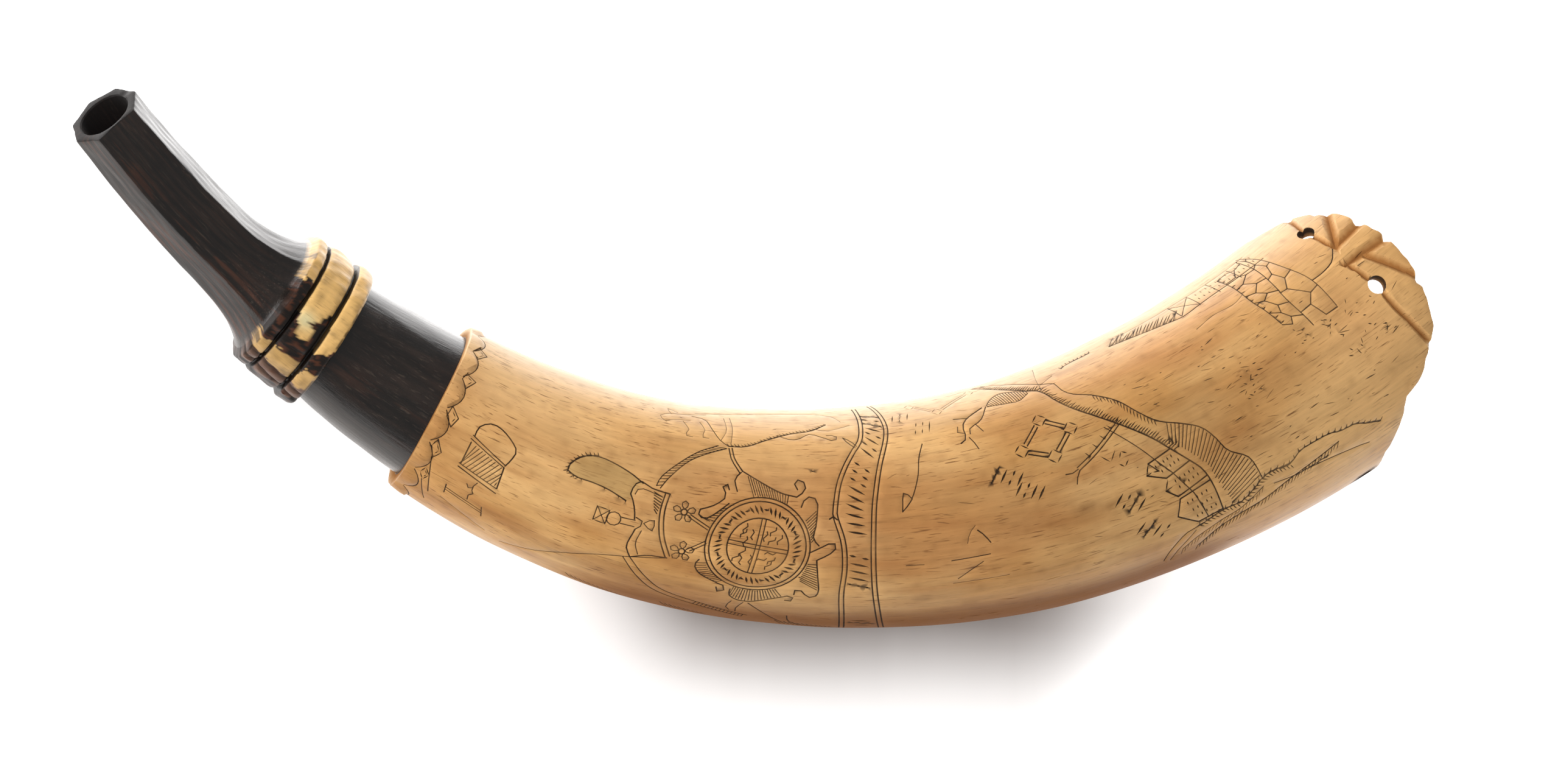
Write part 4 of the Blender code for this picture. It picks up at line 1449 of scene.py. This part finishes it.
def make_horn():
    skin = build_skin()
    along, angle, radius, ink, dirt_and_shade = skin.gathered()
    points = laid(place(along, angle, radius))
    points[:, 2] = np.maximum(points[:, 2], 0.0)
    mesh = bpy.data.meshes.new("powder_horn")
    mesh.from_pydata(points.tolist(), [], [tuple(int(k) for k in f) for f in skin.faces])
    for values in HORN_MATERIALS:
        mesh.materials.append(horn_material(*values))
    mesh.polygons.foreach_set("material_index", np.array(skin.kinds).astype(np.int32))
    # painted shade: the lower side of the belly is darkened, carried in the same value as the dirt in the
    # cuts
    belly = ease((along - 130) / 25) * ease((300 - along) / 25)
    dirt_and_shade = np.maximum(dirt_and_shade, 0.5 * belly * ease((-46 - angle) / 26) * (angle > -150))

    # each point takes the colour of the kind of surface that it is on
    owner = np.full(len(along), CREAM)
    for face, kind in zip(skin.faces, skin.kinds):
        if kind != CREAM:
            for k in face:
                owner[k] = max(owner[k], kind)
    tone = body_colour(along, angle)
    dark = (along < COLLAR - 0.2 + COLLAR_SLANT * lean_share(angle)) & (along < COLLAR - 0.5)
    dark |= owner == DARK
    tone[dark] = dark_colour(along, angle)[dark]
    band = owner == BAND
    tone[band] = band_colour(along, angle)[band]
    # painted shade: the hollow is painted black towards the spout, turning tan towards the butt's opening
    inner = (owner == INSIDE) & (radius < hollow_radius(along) + 0.3)
    tone[inner] = mix(BLACK, TAN, ease((along[inner] - 90) / 60)[:, None])
    write_attribute(mesh, "tone", "FLOAT_COLOR", "color", np.column_stack((tone, np.ones(len(along)))))
    write_attribute(mesh, "ink", "FLOAT", "value", ink)
    write_attribute(mesh, "dirt_and_shade", "FLOAT", "value", dirt_and_shade)
    way = np.radians(angle)
    straightened = np.column_stack((along, radius * np.cos(way), radius * np.sin(way))) / 1000
    write_attribute(mesh, "grain", "FLOAT_VECTOR", "vector", straightened)

    faced = bmesh.new()
    faced.from_mesh(mesh)
    bmesh.ops.recalc_face_normals(faced, faces=faced.faces)
    faced.to_mesh(mesh)
    faced.free()
    mesh.shade_smooth()
    mesh.set_sharp_from_angle(angle=SHARP_ANGLE)
    horn = bpy.data.objects.new("powder_horn", mesh)
    bpy.context.scene.collection.objects.link(horn)
    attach(horn, "root")
    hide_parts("horn")


def make_floor():
    """A white floor with a painted glow, stronger behind the horn than ahead of it, and a soft painted
    shadow in front of the belly, where the glow is dimmed.
    """
    far = 3.0 ** np.arange(-1.0, 1.1, 0.5)
    reach = np.concatenate((-far[::-1], np.linspace(-0.26, 0.26, 105), far))
    across, down = np.meshgrid(reach, reach)
    flat_spots = np.column_stack((across.ravel(), down.ravel(), np.zeros(across.size)))
    spine = laid(AXIS[::20])
    places = (0, SPOUT_LENGTH, COLLAR, AXIS_LENGTH)
    girth = np.interp(AXIS_PLACES[::20], places, (9, 16, 19, BUTT_RADIUS)) / 1000
    near = np.full(len(flat_spots), 1e9)
    behind = np.zeros(len(flat_spots))
    for spot, radius in zip(spine, girth):
        gap = np.linalg.norm(flat_spots - spot, axis=1) - radius
        behind = np.where(gap < near, flat_spots[:, 1] - spot[1], behind)
        near = np.minimum(near, gap)
    x = flat_spots[:, 0]
    left = 0.30 * ease((-0.03 - x) / 0.04) * ease((x + 0.10) / 0.04)
    right = 0.50 * ease((x - 0.075) / 0.05)
    back = ease(behind / 0.04) * (1 - 0.35 * ease((x - 0.02) / 0.07))
    bright = np.maximum(back, left + right)
    glow = mix(GLOW_AHEAD, GLOW_BEHIND, bright * (1 + 0.30 * ease((-0.08 - x) / 0.05)))
    # painted shadow: the glow is dimmed in a soft patch in front of the belly, most near the skin
    pale = ease((x + 0.045) / 0.04) * ease((0.150 - x) / 0.04)
    deep = ease((x + 0.03) / 0.035) * ease((0.108 - x) / 0.04)
    start = SHADOW_START + 0.008 * ease((x - 0.045) / 0.06)
    shadow = (0.58 * pale + 0.42 * deep) * (1 - ease((near - start) / SHADOW_REACH))
    contact = 0.35 * deep * (1 - ease(near / 0.012))
    ahead = 1 - ease((behind + 0.005) / 0.03)
    glow = glow * (1 - np.minimum(shadow + contact, 1.0) * ahead)
    wide = len(reach)
    faces = [
        (r * wide + c, r * wide + c + 1, (r + 1) * wide + c + 1, (r + 1) * wide + c)
        for r in range(wide - 1) for c in range(wide - 1)
    ]
    mesh = bpy.data.meshes.new("floor")
    mesh.from_pydata(flat_spots.tolist(), [], faces)
    write_attribute(mesh, "glow", "FLOAT", "value", glow)
    material, tree, shader = new_material("floor_white")
    shader.inputs["Base Color"].default_value = (*FLOOR_COLOUR, 1.0)
    shader.inputs["Roughness"].default_value = 0.8
    shader.inputs["Emission Color"].default_value = (1.0, 1.0, 1.0, 1.0)
    lit = node(tree, "ShaderNodeAttribute", attribute_name="glow")
    tree.links.new(lit.outputs["Fac"], shader.inputs["Emission Strength"])
    mesh.materials.append(material)
    floor = bpy.data.objects.new("floor", mesh)
    bpy.context.scene.collection.objects.link(floor)
    floor.location.z = -FLOOR_DROP


def make_studio():
    scene = bpy.context.scene
    scene.world = bpy.data.worlds.new("studio")
    scene.world.use_nodes = True
    sky = scene.world.node_tree.nodes["Background"]
    sky.inputs["Color"].default_value = (1.0, 1.0, 1.0, 1.0)
    sky.inputs["Strength"].default_value = SKY_STRENGTH
    scene.view_settings.view_transform = "Standard"
    scene.view_settings.look = "None"

    def from_photo(point):
        """A point of the photograph's frame, in mm, as the horn lies, in metres."""
        return (LAY.to_3x3() @ (Vector(point) - PHOTO_MOUTH) + MOUTH) / 1000

    lamp = bpy.data.lights.new("key_light", "AREA")
    lamp.shape = "RECTANGLE"
    lamp.size = lamp.size_y = KEY_LIGHT_SIZE
    lamp.energy = KEY_LIGHT_POWER
    light = bpy.data.objects.new("key_light", lamp)
    scene.collection.objects.link(light)
    light.location = from_photo(KEY_LIGHT_PLACE)
    light.rotation_mode = "QUATERNION"
    light.rotation_quaternion = (Vector((0.0, 0.0, 0.02)) - light.location).to_track_quat("-Z", "Y")
    light.visible_glossy = False

    lens = bpy.data.cameras.new("camera")
    lens.sensor_width = SENSOR_WIDTH
    lens.sensor_fit = "HORIZONTAL"
    lens.lens = LENS_LENGTH
    lens.clip_start, lens.clip_end = 0.05, 20.0
    camera = bpy.data.objects.new("camera", lens)
    scene.collection.objects.link(camera)
    camera.matrix_world = Matrix.Translation(from_photo((0, 0, CAMERA_DISTANCE))) @ LAY
    bpy.context.scene.camera = camera


for draw in (
    draw_collar, draw_basket, draw_leaf_and_ribbon, draw_flowers, draw_roundel, draw_scrolls,
    draw_animal, draw_banner, draw_scratches, draw_forts, draw_river, draw_coast, draw_houses,
    draw_town, draw_long_lines, draw_fan, draw_nicks,
):
    draw()

make_horn()
make_floor()
make_studio()
